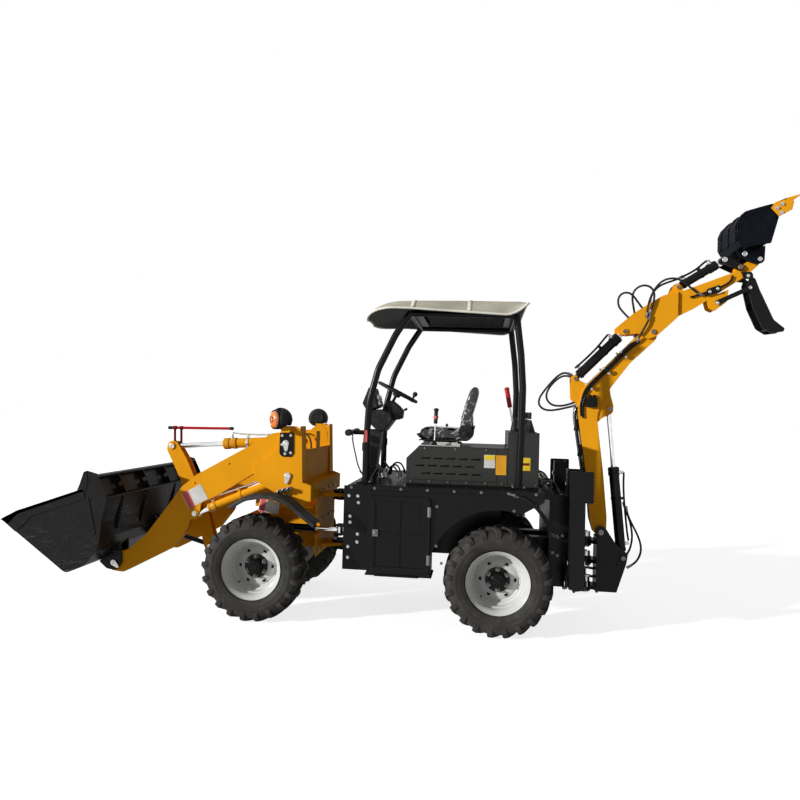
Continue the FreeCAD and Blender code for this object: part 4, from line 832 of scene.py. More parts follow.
# ----------------------------------------------------- tilt cylinder, level bar
def tilt_parts():
    """The tilt rod with its eye and level indicator, its gland, ports and pipes."""
    pivot, top = Vector((-200, 1310)), Vector((930, 1230))
    along = (top - pivot).normalized()
    above = Vector((-along.y, along.x))

    def spot(s, lift, sway=0.0):
        point = pivot + along * s + above * lift
        return front(point.x, sway, point.y)
    axis = (spot(1, 0) - spot(0, 0)).normalized()
    up = (spot(0, 1) - spot(0, 0)).normalized()

    def rod_body(bm):
        spin(bm, [(0, 5), (0, 20), (2, 22), (612, 22), (612, 5)], spot(476, 0), axis, 40)
    rod = new_piece("tilt_rod_bar", rod_body, CHROME, "tilt_rod", 35)

    def eye(bm):
        spin(bm, [(-21.8, 27), (-21.8, 37), (-19.8, 40), (19.8, 40), (21.8, 37), (21.8, 27)],
            spot(1133, 0), Vector((0, 1, 0)), 40)
        spin(bm, [(0, 22.5), (0, 30), (20, 32), (36, 32), (50, 26)], spot(1072, 0), axis, 32)
    boss = new_piece("tilt_rod_eye", eye, BLACK, "tilt_rod", 35)

    def level_bar(bm):
        bar(bm, front(418, 0, 1390), front(980, 0, 1382), 11.5, 24)
    red = new_piece("level_bar", level_bar, RED, "tilt_rod", smooth=40)

    def caps(bm):
        for low, high, z in ((412, 446, 1390), (950, 986, 1382)):
            bar(bm, front(low, 0, z), front(high, 0, z), 14, 24, 2)
    ends = new_piece("level_bar_caps", caps, PLASTIC, "tilt_rod", smooth=40)

    def posts(bm):
        for x, foot, head in ((925, 1256, 1382), (868, 1258, 1383)):
            bar(bm, front(x, 0, foot), front(x + 4, 0, head), 10, 20)
        for x in (927, 871):
            spin(bm, [(-14, 11.5), (-14, 16), (12, 16), (12, 11.5)], front(x, 0, 1384),
                Vector((1, 0, 0)), 20)
    stand = new_piece("level_posts", posts, DARK_RED, "tilt_rod", smooth=40)
    stand_for("tilt_rod", rod, boss, red, ends, stand)

    def gland(bm):
        spin(bm, [(0, 41), (0, 46.5), (30, 46.5), (32, 43), (60, 43), (62, 47.5), (104, 47.5),
            (110, 42), (110, 34), (118, 32), (118, 23.5)], spot(578, 0), axis, 40)
    new_piece("tilt_gland", gland, GLAND, "tilt_barrel", smooth=35)

    def ports(bm):
        for s in (120, 618):
            spin(bm, [(-6, 15), (22, 15), (24, 12), (26, 8)], spot(s, 36), up, 20)
            spin(bm, [(22, 13.5), (38, 13.5), (40, 9)], spot(s, 36), up, 6)
    new_piece("tilt_ports", ports, STEEL, "tilt_barrel")
    pipe("tilt_pipe_a", [spot(618, 74), spot(618, 84), spot(602, 88), spot(530, 76), spot(380, 62),
        spot(250, 62), spot(212, 62)], 8, PIPE_STEEL, "tilt_barrel")

    def clamps(bm):
        for s in (300, 470):
            spin(bm, [(0, 40.5), (0, 44), (20, 44), (20, 40.5)], spot(s, 0), axis, 32)
            block_at(bm, spot(s + 10, 56), axis, up, (20, 30, 28))
    new_piece("tilt_clamps", clamps, STEEL, "tilt_barrel", bevel=1)
    hose("tilt_hose_a", [spot(212, 62), spot(165, 64), spot(110, 72, 12), spot(50, 78, 34),
        spot(-10, 74, 60), front(-262, 84, 1352), front(-284, 96, 1300), front(-286, 98, 1250),
        front(-300, 98, 1226)], 7, "tilt_barrel", "front_frame")
    pin_faces("arm_pivot_centre_faces", [(-200, 1310, 45), (-200, 1310, -45)], front, "front_frame", 22)


tilt_parts()


def crank_trim():
    """Pin ends and welded hub rings of the bellcrank and bucket link."""
    pin_faces("crank_top_faces", [(930, 1230, 47), (930, 1230, -47)], front, "bellcrank", 22)
    pin_faces("crank_low_faces", [(575, 410, 47), (575, 410, -47)], front, "bellcrank", 16)

    def rings(bm):
        for flank in (-1, 1):
            spin(bm, [(-3, 46), (4, 47), (5, 44), (5, 30)], front(705, flank * 34, 785),
                Vector((0, flank, 0)), 40)
            spin(bm, [(-2, 36), (3, 35), (4, 32), (4, 23)], front(930, flank * 39.5, 1230),
                Vector((0, flank, 0)), 36)
    new_piece("crank_rings", rings, YELLOW, "bellcrank", 40)

    def link_rings(bm):
        a, b = front(575, 0, 410), front(1035, 0, 530)
        axis = (b - a).normalized()
        for point, way in ((a, axis), (b, -axis)):
            spin(bm, [(30, 20.5), (34, 26), (44, 26), (50, 20.5)], point, way, 28)
    new_piece("link_collars", link_rings, YELLOW, "bucket_link", 40)


crank_trim()


# ----------------------------------------------------------------- front frame
def tower_trim():
    """Bracket plates, pin keepers, ports and labels on the loader tower."""
    for flank, side in SIDES:
        out = (0, flank, 0)
        plate(f"lamp_bracket_{side}", [(-152, 1388, 6), (-152, 1232, 14), (-176, 1209, 6),
            (-244, 1209, 14), (-262, 1240, 6), (-258, 1392, 6)],
            *side_span(flank, PLATE_Y, PLATE_Y + 7), side_on(front), BLACK, "front_frame")
        spots = [(-172, 1368), (-238, 1370), (-172, 1300), (-240, 1240), (-196, 1232)]
        bolts(f"lamp_bracket_bolts_{side}", [front(x, flank * (PLATE_Y + 7), z) for x, z in spots], out,
            8, "front_frame")
        for name, pin, tail in (("lift", (-220, 1068), (-214, 1018)),
                ("arm", (-200, 1310), (-204, 1262))):
            keeper(f"{name}_pin_keeper_{side}", pin, tail, front, flank * (PLATE_Y + 8), flank,
                "front_frame", 24)

        def manifold(bm):
            for x, z in ((-242, 972), (-206, 962), (-168, 950)):
                foot = front(x, flank * PLATE_Y, z)
                spin(bm, [(-2, 17), (10, 17), (12, 12.5)], foot, Vector(out), 6)
                spin(bm, [(10, 12.5), (30, 12.5), (32, 16), (48, 16), (50, 11)], foot, Vector(out), 20)
            for x, z in ((-226, 918), (-180, 908)):
                hexagon(bm, front(x, flank * PLATE_Y, z), out, 10, 10)
        new_piece(f"tower_ports_{side}", manifold, DARK_STEEL, "front_frame")
        angle = math.radians(-8 * flank)
        u = Vector((-flank * math.cos(angle), 0, math.sin(angle)))
        v = UP - u * u.z
        label(f"tower_label_{side}", front(-58, flank * 430.4, 818), u, v, (150, 84), "front_frame",
            (PINK, CREAM, (PINK, (-0.42, -0.14))))


def tower_edges():
    """Weld beads and gusset bolts across the tower, and the front axle's mounting plates with their bolts."""
    rim = [(-392, 1002), (-336, 1020), (-322, 1380)]

    def beads(bm):
        for flank in (-1, 1):
            for y in (PLATE_Y - 12, 392):
                bead(bm, [front(x + 4, flank * y, z) for x, z in rim], 3.5)
            bar(bm, front(-387, flank * 396, 1002), front(-305, flank * 396, 1002), 4, 8)
    new_piece("tower_welds", beads, YELLOW, "front_frame", 60)
    spots = [front(-404, y, z) for y in (-250, -90, 90, 250) for z in (470, 700, 930)]
    bolts("front_wall_bolts", spots, (-1, 0, 0), 9, "front_frame", DARK_STEEL)

    def axle_plates(bm):
        for flank in (-1, 1):
            block(bm, front(-70, flank * 140 - 44, 472), front(70, flank * 140 + 44, 482))
    new_piece("front_axle_plates", axle_plates, BLACK, "front_frame", bevel=2)
    spots = [front(x, flank * 140 + y, 472) for flank in (-1, 1) for x in (-55, 55) for y in (-30, 30)]
    bolts("front_axle_bolts", spots, (0, 0, -1), 9, "front_frame", DARK_STEEL)


tower_trim()
tower_edges()


def axle_trim(name, datum, body):
    """Cover bolts and tube ribs of one axle."""
    def studs(bm):
        for way in (1, -1):
            for k in range(10):
                a = 2 * math.pi * k / 10
                foot = datum(way * 96, 78 * math.cos(a), 386.5 + 78 * math.sin(a))
                hexagon(bm, foot, (way, 0, 0), 7, 8)
        for flank in (-1, 1):
            for k in range(8):
                a = 2 * math.pi * k / 8
                foot = datum(86 * math.cos(a), flank * 370, 386.5 + 86 * math.sin(a))
                hexagon(bm, foot, (0, -flank, 0), 7, 9)
    new_piece(f"{name}_studs", studs, DARK_STEEL, body)

    def ribs(bm):
        for flank in (-1, 1):
            for y in (110, 200, 290):
                spin(bm, [(-6, 57.5), (-6, 64), (6, 64), (6, 57.5)], datum(0, flank * y, 386.5),
                    Vector((0, 1, 0)), 32)
    new_piece(f"{name}_ribs", ribs, BLACK, body, 40)


axle_trim("front_axle", front, "front_frame")
axle_trim("rear_axle", rear, "rear_frame")


# ------------------------------------------------------------ fenders and lamps
def fender(flank, side):
    """Moulded fender with three ribs along its crown and a rolled outer lip."""
    low, high = 510, 670
    crest = rounded([(180, 842), (60, 916, 200), (-100, 945, 300), (-260, 912, 200), (-365, 825, 150),
        (-480, 742)], 8)
    rows = [(low + 1, 0), (low + 16, 0), (low + 22, 5), (low + 34, 5), (low + 40, 0), (low + 62, 0),
        (low + 68, 5), (low + 80, 5), (low + 86, 0), (low + 110, 0), (low + 116, 5), (low + 128, 5),
        (low + 134, 0), (high - 9, 0), (high - 3, -3), (high - 0.5, -9), (high - 0.5, -28),
        (high - 4, -30), (high - 5, -12), (high - 10, -6), (low + 1, -6)]

    def skin(bm):
        rings = []
        count = len(crest)
        for i, (x, z) in enumerate(crest):
            a = Vector(crest[max(i - 1, 0)])
            b = Vector(crest[min(i + 1, count - 1)])
            way = (b - a).normalized()
            up = Vector((-way.y, way.x))
            if up.y < 0:
                up = -up
            rings.append([bm.verts.new(front(x + up.x * h, flank * y, z + up.y * h)) for y, h in rows])
        loft(bm, rings, tube=True)
        bm.faces.new(rings[0])
        bm.faces.new(list(reversed(rings[-1])))
    piece = new_piece(f"fender_skin_{side}", skin, FENDER, "front_frame", 35, 1.2)

    def bracket(bm):
        side_block(bm, front, flank, (-250, -205), (low - 1, low + 34), (893, 914))
        side_block(bm, front, flank, (-262, -193), (low + 30, low + 34), (884, 914))
    arm = new_piece(f"fender_bracket_{side}", bracket, BLACK, "front_frame", bevel=1.5)
    stand_for("front_fenders", piece, arm)
    spots = [front(x, flank * (low + 34), 899) for x in (-250, -205)]
    bolts(f"fender_bolts_{side}", spots, (0, flank, 0), 7, "front_frame")


def lamp(flank, side):
    """Hooded turn lamp: dome, dark bezel, ribbed amber lens and rubber base."""
    centre = front(-170, flank * 566, 1487)
    aim = Vector((0.70, 0.71 * flank, 0)).normalized()
    radius = 0.0890
    across = Vector((-aim.y, aim.x, 0))

    def dome(bm):
        rings = []
        for k in range(17):
            tilt = math.radians(-28 + k * (118 / 16))
            ring = []
            for i in range(29):
                angle = math.radians(62 + i * (236 / 28))
                way = (aim * math.cos(angle) + across * math.sin(angle)) * math.cos(tilt)
                spot = centre + (way + Vector((0, 0, math.sin(tilt)))) * radius
                spot.y = flank * max(flank * spot.y, 0.503)
                ring.append(bm.verts.new(spot))
            rings.append(ring)
        loft(bm, rings)
    hood = new_piece(f"lamp_hood_{side}", dome, PLASTIC, "front_frame", 60)
    thicken(hood, 4, -1.0)

    def visor(bm):
        spin(bm, [(-30, 40), (-20, 56), (-4, 71.5), (30, 73), (50, 73), (52, 70.5), (52, 65.5),
            (40, 63)], centre, aim, 48)
    ring = new_piece(f"lamp_bezel_{side}", visor, PLASTIC, "front_frame", 40)

    def glass(bm):
        spin(bm, [(34, 65), (50, 63), (64, 53), (71, 35), (72.5, 16), (72.5, 0.01)], centre, aim, 48)
    lens = new_piece(f"lamp_lens_{side}", glass, LENS, "front_frame", smooth=60)

    def hub(bm):
        spin(bm, [(70, 25), (75, 24), (75, 20), (70, 19)], centre, aim, 32)
    dot = new_piece(f"lamp_ring_{side}", hub, PLASTIC, "front_frame", smooth=40)

    def foot(bm):
        spin(bm, [(-46.5, 30), (-40, 33), (-30, 33), (-24, 40), (-10, 44)],
            front(-186, flank * 566, 1487), UP, 32)
    base = new_piece(f"lamp_foot_{side}", foot, RUBBER, "front_frame", 40)
    stand_for("turn_lamps", hood, ring, lens, dot, base)


for front_side in SIDES:
    fender(*front_side)
for front_side in SIDES:
    lamp(*front_side)


# --------------------------------------------------------------------- canopy
CROWN = [(-172, 2384), (-130, 2397), (200, 2402), (600, 2402), (780, 2398), (880, 2382), (960, 2354),
    (1022, 2320), (1056, 2290)]
RIM = [(-172, 2366), (-120, 2314), (-45, 2278), (317, 2300), (665, 2322), (833, 2328), (930, 2318),
    (1010, 2300), (1056, 2284)]
NOSE = 1056


def height(table, x):
    """Height at x between the (x, z) stations of a table."""
    for (x0, z0), (x1, z1) in zip(table, table[1:]):
        if x <= x1:
            t = min(1.0, max(0.0, (x - x0) / (x1 - x0)))
            return z0 + (z1 - z0) * t
    return table[-1][1]


def canopy_point(x, y, drop=0.0):
    """The moulded roof: flat crown, rolled sides and a drooping nose with round corners."""
    edge = min(1.0, max(0.0, (abs(y) - 395) / 205))
    roll = edge * edge * (3 - 2 * edge) * 0.45 + 0.55 * edge ** 2.4
    bow = max(0.0, (x - 700) / (NOSE - 700))
    across_x = y * max(0.04, 1 - bow ** 2.6) ** (1 / 2.6)
    crown, rim = (sum(height(table, x + d) for d in (-24, -12, 0, 12, 24)) / 5 for table
        in (CROWN, RIM))
    hump = 5 * math.cos(math.pi * y / 800)
    return rear(x, across_x, crown * (1 - roll) + rim * roll + hump * (1 - edge) - drop)


def canopy():
    """Shell, ribbed lining, rolled lip, seam straps and rubber mounts of the roof."""
    xs = [-172, -164, -150, -132, -110, -80] + [-45 + 30 * i for i in range(28)]
    xs += [795, 825, 855, 885, 912, 938, 962, 984, 1002, 1018, 1032, 1042, 1050, 1055, NOSE]
    ys = [-600, -592, -580, -564, -544, -520, -492, -460, -425, -390]
    ys = ys + [-340 + 40 * i for i in range(18)] + [-y for y in reversed(ys)]

    def sheet(drop, wave=0.0, trim=0):
        def build(bm):
            cut = slice(trim, -trim) if trim else slice(None)
            rows = [[bm.verts.new(canopy_point(x, y,
                drop + wave * (1 - (y / 600) ** 4) * min(1.0, max(0.0, (900 - x) / 200)) *
                (0.5 + 0.5 * math.cos(2 * math.pi * x / 96)))) for y in ys[cut]] for x in xs[cut]]
            loft(bm, rows)
        return build
    shell = new_piece("canopy_shell", sheet(0), CANOPY, "rear_frame", 50)
    thicken(shell, 5)
    lining = new_piece("canopy_lining", sheet(8, 9.0, 1), CANOPY_DARK, "rear_frame", 50)
    thicken(lining, 4)

    loop = [canopy_point(x, 600) for x in xs] + [canopy_point(NOSE, y) for y in reversed(ys[:-1])]
    loop += [canopy_point(x, -600) for x in reversed(xs[:-1])]
    loop += [canopy_point(-172, y) for y in ys[1:-1]]

    def lip(bm):
        count = len(loop)
        rings = []
        for i, point in enumerate(loop):
            way = (loop[(i + 1) % count] - loop[i - 1]).normalized()
            inward = (rear(400, 0, 2340) - point)
            inward = (inward - way * inward.dot(way)).normalized()
            up = way.cross(inward)
            rings.append([bm.verts.new(point + (inward * math.cos(a) + up * math.sin(a)) * 0.0085 -
                Vector((0, 0, 0.004))) for a in [2 * math.pi * k / 10 for k in range(10)]])
        loft(bm, rings, loop=True, tube=True)
    rim = new_piece("canopy_lip", lip, CANOPY_RIM, "rear_frame", 60)

    def straps(bm):
        for x in (230, 640):
            for a, b in zip(ys, ys[1:]):
                quads = [canopy_point(x, a, -6), canopy_point(x + 26, a, -6),
                    canopy_point(x + 26, b, -6), canopy_point(x, b, -6)]
                base = [canopy_point(x - 3, a, -1), canopy_point(x + 29, a, -1),
                    canopy_point(x + 29, b, -1), canopy_point(x - 3, b, -1)]
                top = [bm.verts.new(p) for p in quads]
                low = [bm.verts.new(p) for p in base]
                bm.faces.new(top)
                bm.faces.new((low[0], low[3], top[3], top[0]))
                bm.faces.new((low[1], top[1], top[2], low[2]))
    seams = new_piece("canopy_seams", straps, CANOPY_RIM, "rear_frame", 60)
    stand_for("canopy", shell, lining, rim, seams)

    def mounts(bm):
        for x in (640, -60):
            for y in (-250, 250):
                spin(bm, [(0, 26), (4, 28), (16, 28), (18, 26), (18, 0.01)], rear(x, y, 2349.5), UP, 24)
    new_piece("canopy_mounts", mounts, RUBBER, "rear_frame", 40)


canopy()


# ------------------------------------------------------------------------ seat
def vinyl():
    """Black seat vinyl under its crinkled clear delivery film, with painted glints: a pale base colour along the
    film's creases.
    """
    n = Nodes("seat_vinyl")
    warp = n.add("ShaderNodeTexNoise", Vector=n.coords, Scale=10.0, Detail=2.5, Roughness=0.5,
        Distortion=1.1)
    ridge = n.maths("ABSOLUTE", n.maths("SUBTRACT", warp.outputs["Fac"], 0.5), 0.0)
    crease = n.span(ridge, 0.004, 0.040, 1.0, 0.0)
    area = n.span(n.noise(7.5, 3.0), 0.40, 0.54)
    # painted highlight: the creases get a pale base colour that stands in for light glinting on the film
    painted_glint = n.maths("MULTIPLY", crease, area)
    tone = n.mix(n.noise(5.0, 4.0), (0.007, 0.007, 0.007), (0.016, 0.0155, 0.015))
    tone = n.mix(painted_glint, tone, (0.60, 0.58, 0.54))
    grain = n.add("ShaderNodeTexVoronoi", Vector=n.coords, Scale=420.0)
    fine = n.bump(grain.outputs["Distance"], 0.0002)
    normal = n.bump(n.span(ridge, 0.0, 0.06, 1.0, 0.0), 0.0035, fine)
    n.feed(n.shader.inputs["Coat Normal"], normal)
    rough = n.span(warp.outputs["Fac"], 0.3, 0.7, 0.22, 0.40)
    return n.done(tone, rough, normal, Coat_Weight=0.8, Coat_Roughness=0.14, Specular_IOR_Level=0.2)


VINYL = vinyl()


def inflate(piece, cap, rest_z=None):
    """Rounds a stuffed cover by cloth pressure and caps how far it swells."""
    graph = bpy.context.evaluated_depsgraph_get()
    remesh = piece.modifiers.new("remesh", "REMESH")
    remesh.mode = "VOXEL"
    remesh.voxel_size = 0.006
    graph.update()
    mesh = bpy.data.meshes.new_from_object(piece.evaluated_get(graph))
    piece.modifiers.clear()
    piece.data = mesh
    start = [v.co.copy() for v in mesh.vertices]
    cloth = piece.modifiers.new("cloth", "CLOTH")
    cloth.settings.quality = 5
    cloth.settings.mass = 0.3
    cloth.settings.use_pressure = True
    cloth.settings.uniform_pressure_force = 4.0
    cloth.settings.effector_weights.gravity = 0.0
    scene = bpy.context.scene
    cloth.point_cache.frame_start = 1
    cloth.point_cache.frame_end = 20
    for step in range(1, 21):
        scene.frame_set(step)
    graph = bpy.context.evaluated_depsgraph_get()
    done = piece.evaluated_get(graph).to_mesh()
    moved = [v.co.copy() for v in done.vertices]
    piece.evaluated_get(graph).to_mesh_clear()
    piece.modifiers.clear()
    scene.frame_set(1)
    for vertex, old, new in zip(mesh.vertices, start, moved):
        shift = new - old
        if shift.length > cap:
            shift *= cap / shift.length
        vertex.co = old + shift
        if rest_z is not None:
            vertex.co.z = max(vertex.co.z, rest_z)
    for face in mesh.polygons:
        face.use_smooth = True


def pad(name, outline, half, cap, grooves, up, rest_z=None):
    """Stuffed seat part: swelled by simulation, then its sewn channels pressed in."""
    piece = new_piece(name, lambda bm: prism(bm, rounded(outline, 6), -half, half, side_on(rear)),
        VINYL, smooth=80)
    edge = piece.modifiers.new("edge", "BEVEL")
    edge.width = 0.022
    edge.segments = 5
    edge.limit_method = "ANGLE"
    edge.angle_limit = math.radians(50)
    graph = bpy.context.evaluated_depsgraph_get()
    graph.update()
    mesh = bpy.data.meshes.new_from_object(piece.evaluated_get(graph))
    piece.modifiers.clear()
    piece.data = mesh
    inflate(piece, cap, rest_z)
    mesh = piece.data
    normals = [v.normal.copy() for v in mesh.vertices]
    for vertex, normal in zip(mesh.vertices, normals):
        if normal.dot(up) < 0.2:
            continue
        depth = 0.0
        for spot, across_it in grooves:
            away = (vertex.co - spot).dot(across_it)
            depth += 0.006 * math.exp(-(away / 0.006) ** 2)
        crest = max(0.0, 1.0 - (abs(vertex.co.y) / (half * MM)) ** 4)
        vertex.co -= normal * depth * crest
    piece.data.materials[0] = VINYL
    finer = piece.modifiers.new("finer", "SUBSURF")
    finer.levels = 1
    finer.render_levels = 1
    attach(piece, "rear_frame")
    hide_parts("operator_seat")
    return piece


def seat():
    """Cushion and back with their pan, slide rails and release bars."""
    pad("seat_cushion", [(236, 1362, 20), (300, 1360), (560, 1360, 30), (624, 1398, 26),
        (614, 1440, 24), (540, 1448, 60), (310, 1440, 40), (238, 1428, 16)], 222, 0.012,
        [(rear(x, 0, 1440), Vector((1, 0, 0))) for x in (345, 445, 545)], UP, rear(0, 0, 1357).z)
    lean = (rear(300, 0, 1440) - rear(228, 0, 1765)).normalized()
    pad("seat_back", [(206, 1462, 16), (226, 1400, 16), (288, 1402, 20), (300, 1442, 30),
        (294, 1520, 60), (270, 1620, 60), (226, 1752, 24), (198, 1780, 22), (162, 1770, 22),
        (176, 1690, 40), (212, 1560, 40)], 206, 0.006, [(rear(x, 0, z), lean) for x, z
        in ((284, 1500), (264, 1600), (236, 1690))], Vector((1, 0, 0.2)))

    def pan(bm):
        prism(bm, rounded([(246, 1354), (592, 1354, 10), (634, 1392, 14), (640, 1402), (630, 1402),
            (580, 1364), (252, 1364), (210, 1420, 10), (198, 1470), (190, 1468), (200, 1410, 20)]),
            -232, 232, side_on(rear))
        for y in (-236, 226):
            prism(bm, rounded([(196, 1398, 20), (232, 1360, 10), (292, 1360, 12), (318, 1416, 20),
                (300, 1470, 16), (222, 1486, 16)]), y, y + 10, side_on(rear))
    shell = new_piece("seat_pan", pan, PLASTIC, "rear_frame", 30, 3)

    def slide(bm):
        for y in (-204, 174):
            block(bm, rear(300, y, 1315), rear(600, y + 30, 1332))
            block(bm, rear(318, y + 4, 1332), rear(585, y + 26, 1352))
        block(bm, rear(330, -200, 1340), rear(570, 200, 1353))
        block(bm, rear(296, -312, 1314), rear(604, 312, 1319))
    rails = new_piece("seat_slide", slide, SILVER, "rear_frame", bevel=1.5)

    def release(bm):
        bar(bm, rear(596, -90, 1338), rear(640, -90, 1342), 5, 12)
        bar(bm, rear(638, -96, 1342), rear(638, -30, 1342), 6, 12)
        for y in (-218, 218):
            spin(bm, [(-14, 20), (14, 20), (16, 16), (16, 0.01)], rear(262, y * 1.11, 1412),
                Vector((0, math.copysign(1, y), 0)), 24)
    latch = new_piece("seat_release", release, PLASTIC, "rear_frame", smooth=40)
    stand_for("operator_seat", shell, rails, latch)


seat()


# ---------------------------------------------------------- hood, deck, levers
def hood_trim():
    """Louvre slots painted as black patches of shade, panel seams, lid, bolts and blank labels of the engine
    cover.
    """
    for flank, side in SIDES:
        y = flank * 330
        louvre = [(first - i * 94.5, z) for z, first in ((1222, 588), (1166, 632), (1108, 585))
            for i in range(5)]

        # painted shade: black slabs stand in for the louvre openings and the shade behind them
        def slots(bm):
            for x, z in louvre:
                prism(bm, rounded([(x, z - 5, 4), (x - 70, z - 5, 4), (x - 70, z + 5, 4),
                    (x, z + 5, 4)]), *side_span(flank, 328, 330.6), side_on(rear))
        new_piece(f"hood_slot_shade_{side}", slots, SHADE_AND_SEAM_BLACK, "rear_frame", smooth=30)

        def lips(bm):
            for x, z in louvre:
                bar(bm, rear(x - 2, flank * 331, z + 7), rear(x - 68, flank * 331, z + 7), 2.2, 8, 0.5)
        new_piece(f"hood_slot_lips_{side}", lips, HOOD, "rear_frame", 50)

        def seams(bm):
            for x, z in (((-63.5, -60.5), (1040, 1306)), ((16.5, 19.5), (1040, 1306)),
                    ((20, 694), (1058, 1061))):
                side_block(bm, rear, flank, x, (329.5, 330.4), z)
        new_piece(f"hood_seams_{side}", seams, SHADE_AND_SEAM_BLACK, "rear_frame")
        out = (0, flank, 0)
        spots = [rear(x, y, 1047) for x in (660, 520, 380, 240, 100, -20, -100, -270)]
        spots += [rear(x, y, 1296) for x in (560, 330, 100)]
        bolts(f"hood_bolts_{side}", spots, out, 6, "rear_frame", DARK_STEEL)
        for name, x, z, w, h, color, lift in (("plain", 73, 1213, 74, 90, CREAM, 0.3),
                ("plain_head", 73, 1242, 66, 26, LEMON, 2.0), ("tall", -12, 1188, 70, 138, AMBER, 0.3),
                ("cabinet", -190, 1201, 66, 88, LEMON, 0.3),
                ("cabinet_band", -190, 1201, 50, 10, DARK_RED, 2.0)):
            label(f"hood_label_{name}_{side}", rear(x, y + flank * lift, z), (-flank, 0, 0), UP, (w, h),
                "rear_frame", (color, color, None))

    def lid(bm):
        block(bm, rear(-292, -332, 1426), rear(-58, 332, 1434))
        block(bm, rear(-66, -332, 1306), rear(612, 332, 1314))
    new_piece("hood_lid", lid, HOOD, "rear_frame", bevel=3)

    def louvres(bm):
        for i in range(9):
            z = 1080 + i * 15
            prism(bm, [(701, z), (706, z + 2), (701, z + 9)], -240, 240, side_on(rear))
    new_piece("hood_front_louvres", louvres, HOOD, "rear_frame")

    def hinges(bm):
        for y in (-220, 220):
            bar(bm, rear(-62, y - 40, 1316), rear(-62, y + 40, 1316), 7, 16)
        for y in (-150, 150):
            block(bm, rear(-296, y - 24, 1120), rear(-290, y + 24, 1170))
            spin(bm, [(0, 11), (10, 10), (12, 6), (12, 0.01)], rear(-296, y, 1145),
                Vector((-1, 0, 0)), 20)
    new_piece("hood_hinges", hinges, DARK_STEEL, "rear_frame", bevel=1)


def chassis_trim():
    """Serrated deck edge, door rails, hinges, latches, bolts and steps."""
    for flank, side in SIDES:
        def edge(bm):
            outline = []
            x = -190
            while x < 1060:
                outline += [(x, 1038), (x + 9, 1038), (x + 9, 1031), (x + 15, 1031)]
                x += 15
            outline += [(1060, 1022), (-190, 1022)]
            prism(bm, outline, *side_span(flank, 596, 600), side_on(rear))
            side_block(bm, rear, flank, (-190, 1060), (596, 624), (1029, 1033.5))
        new_piece(f"deck_edge_{side}", edge, BLACK, "rear_frame", bevel=0.8)

        def studs(bm):
            for i in range(42):
                x = -170 + i * 29.5
                spin(bm, [(-2, 7.5), (2, 7), (3.2, 4.5), (3.2, 0.01)],
                    rear(x, flank * 610, 1034), UP, 12)
        new_piece(f"deck_edge_studs_{side}", studs, BLACK, "rear_frame", smooth=50)

        for name, y, radius, material, spots in (("deck", 620, 8, DARK_STEEL,
                [(x, 1014) for x in (-250, -60, 130, 320, 510, 700, 890, 1060)]),
                ("apron", 608, 8, DARK_STEEL,
                [(-101, 892), (-250, 930), (440, 900), (440, 620), (400, 500)]),
                ("cheek", 400, 9, STEEL, [(1052, 924), (1120, 924), (1047, 875), (1109, 770),
                (1108, 725), (1048, 638), (1050, 578), (1120, 540), (1120, 460)])):
            bolts(f"{name}_bolts_{side}", [rear(x, flank * y, z) for x, z in spots], (0, flank, 0),
                radius, "rear_frame", material)

        def door(bm):
            for x, z in (((702, 888), (690, 704)), ((532, 702), (690, 704)), ((699, 709), (456, 924))):
                side_block(bm, rear, flank, x, (609, 615), z)
            prism(bm, rounded([(560, 760, 10), (676, 760, 10), (676, 900, 10), (560, 900, 10)]),
                *side_span(flank, 609, 612), side_on(rear))
        new_piece(f"door_rails_{side}", door, BLACK, "rear_frame", bevel=1.5)

        def fittings(bm):
            for z in (520, 860):
                bar(bm, rear(493, flank * 620, z - 36), rear(493, flank * 620, z + 36), 15.5, 20, 2)
            side_block(bm, rear, flank, (860, 900), (617, 622), (670, 720))
            spin(bm, [(-2, 14), (10, 13), (12, 9), (12, 0.01)], rear(880, flank * 620, 695),
                Vector((0, flank, 0)), 24)
        new_piece(f"door_fittings_{side}", fittings, DARK_STEEL, "rear_frame", bevel=1)

        def step(bm):
            side_block(bm, rear, flank, (560, 880), (604, 622), (386, 398))
        new_piece(f"shelf_edge_{side}", step, BLACK, "rear_frame", bevel=2)

    posts = [(x, y) for x in (990, -135) for y in (-POST_Y, POST_Y)]

    def plugs(bm):
        for x, y in posts:
            for dx, dy in ((-40, -40), (-40, 40), (40, -40), (40, 40)):
                hexagon(bm, rear(x + dx, y + dy, 1042), UP, 8, 10)
    new_piece("post_bolts", plugs, DARK_STEEL, "rear_frame")

    def collars(bm):
        for x, y in posts:
            spin(bm, [(0, 32), (6, 28), (10, 25.6)], rear(x, y, 1042), UP, 32)
            if x > 0:
                spin(bm, [(-30, 25.6), (-30, 31), (30, 31), (30, 25.6)], rear(x, y, 1300), UP, 32)
    new_piece("post_collars", collars, BLACK, "rear_frame", 40)
    label("post_tag", rear(990, POST_Y + 25.3, 1380), Vector((-1, 0, 0)), UP, (13, 80), "rear_frame",
        (DARK_RED, PINK, None))

    def pedals(bm):
        for y, x in ((-150, 900), (150, 905), (225, 905)):
            prism(bm, rounded([(x, 1088, 4), (x + 46, 1150, 8), (x + 40, 1156, 4), (x - 8, 1094, 4)]),
                y - 32, y + 32, side_on(rear))
            bar(bm, rear(x + 30, y, 1126), rear(x + 78, y, 1046), 8, 12)
            block(bm, rear(x + 62, y - 24, 1033), rear(x + 104, y + 24, 1048))
    new_piece("pedals", pedals, PLASTIC, "rear_frame", bevel=1.5)

    def valve(bm):
        block(bm, rear(880, -60, 1033), rear(960, -4, 1085))
        block(bm, rear(884, 4, 1033), rear(956, 60, 1078))
        for y in (-48, -32, -16, 16, 32, 48):
            for x, low, high in ((900, 1080, 1106), (936, 1078, 1098)):
                bar(bm, rear(x, y, low), rear(x, y, high), 8, 14)
    new_piece("steering_valve", valve, STEEL, "rear_frame", bevel=2)


hood_trim()
chassis_trim()


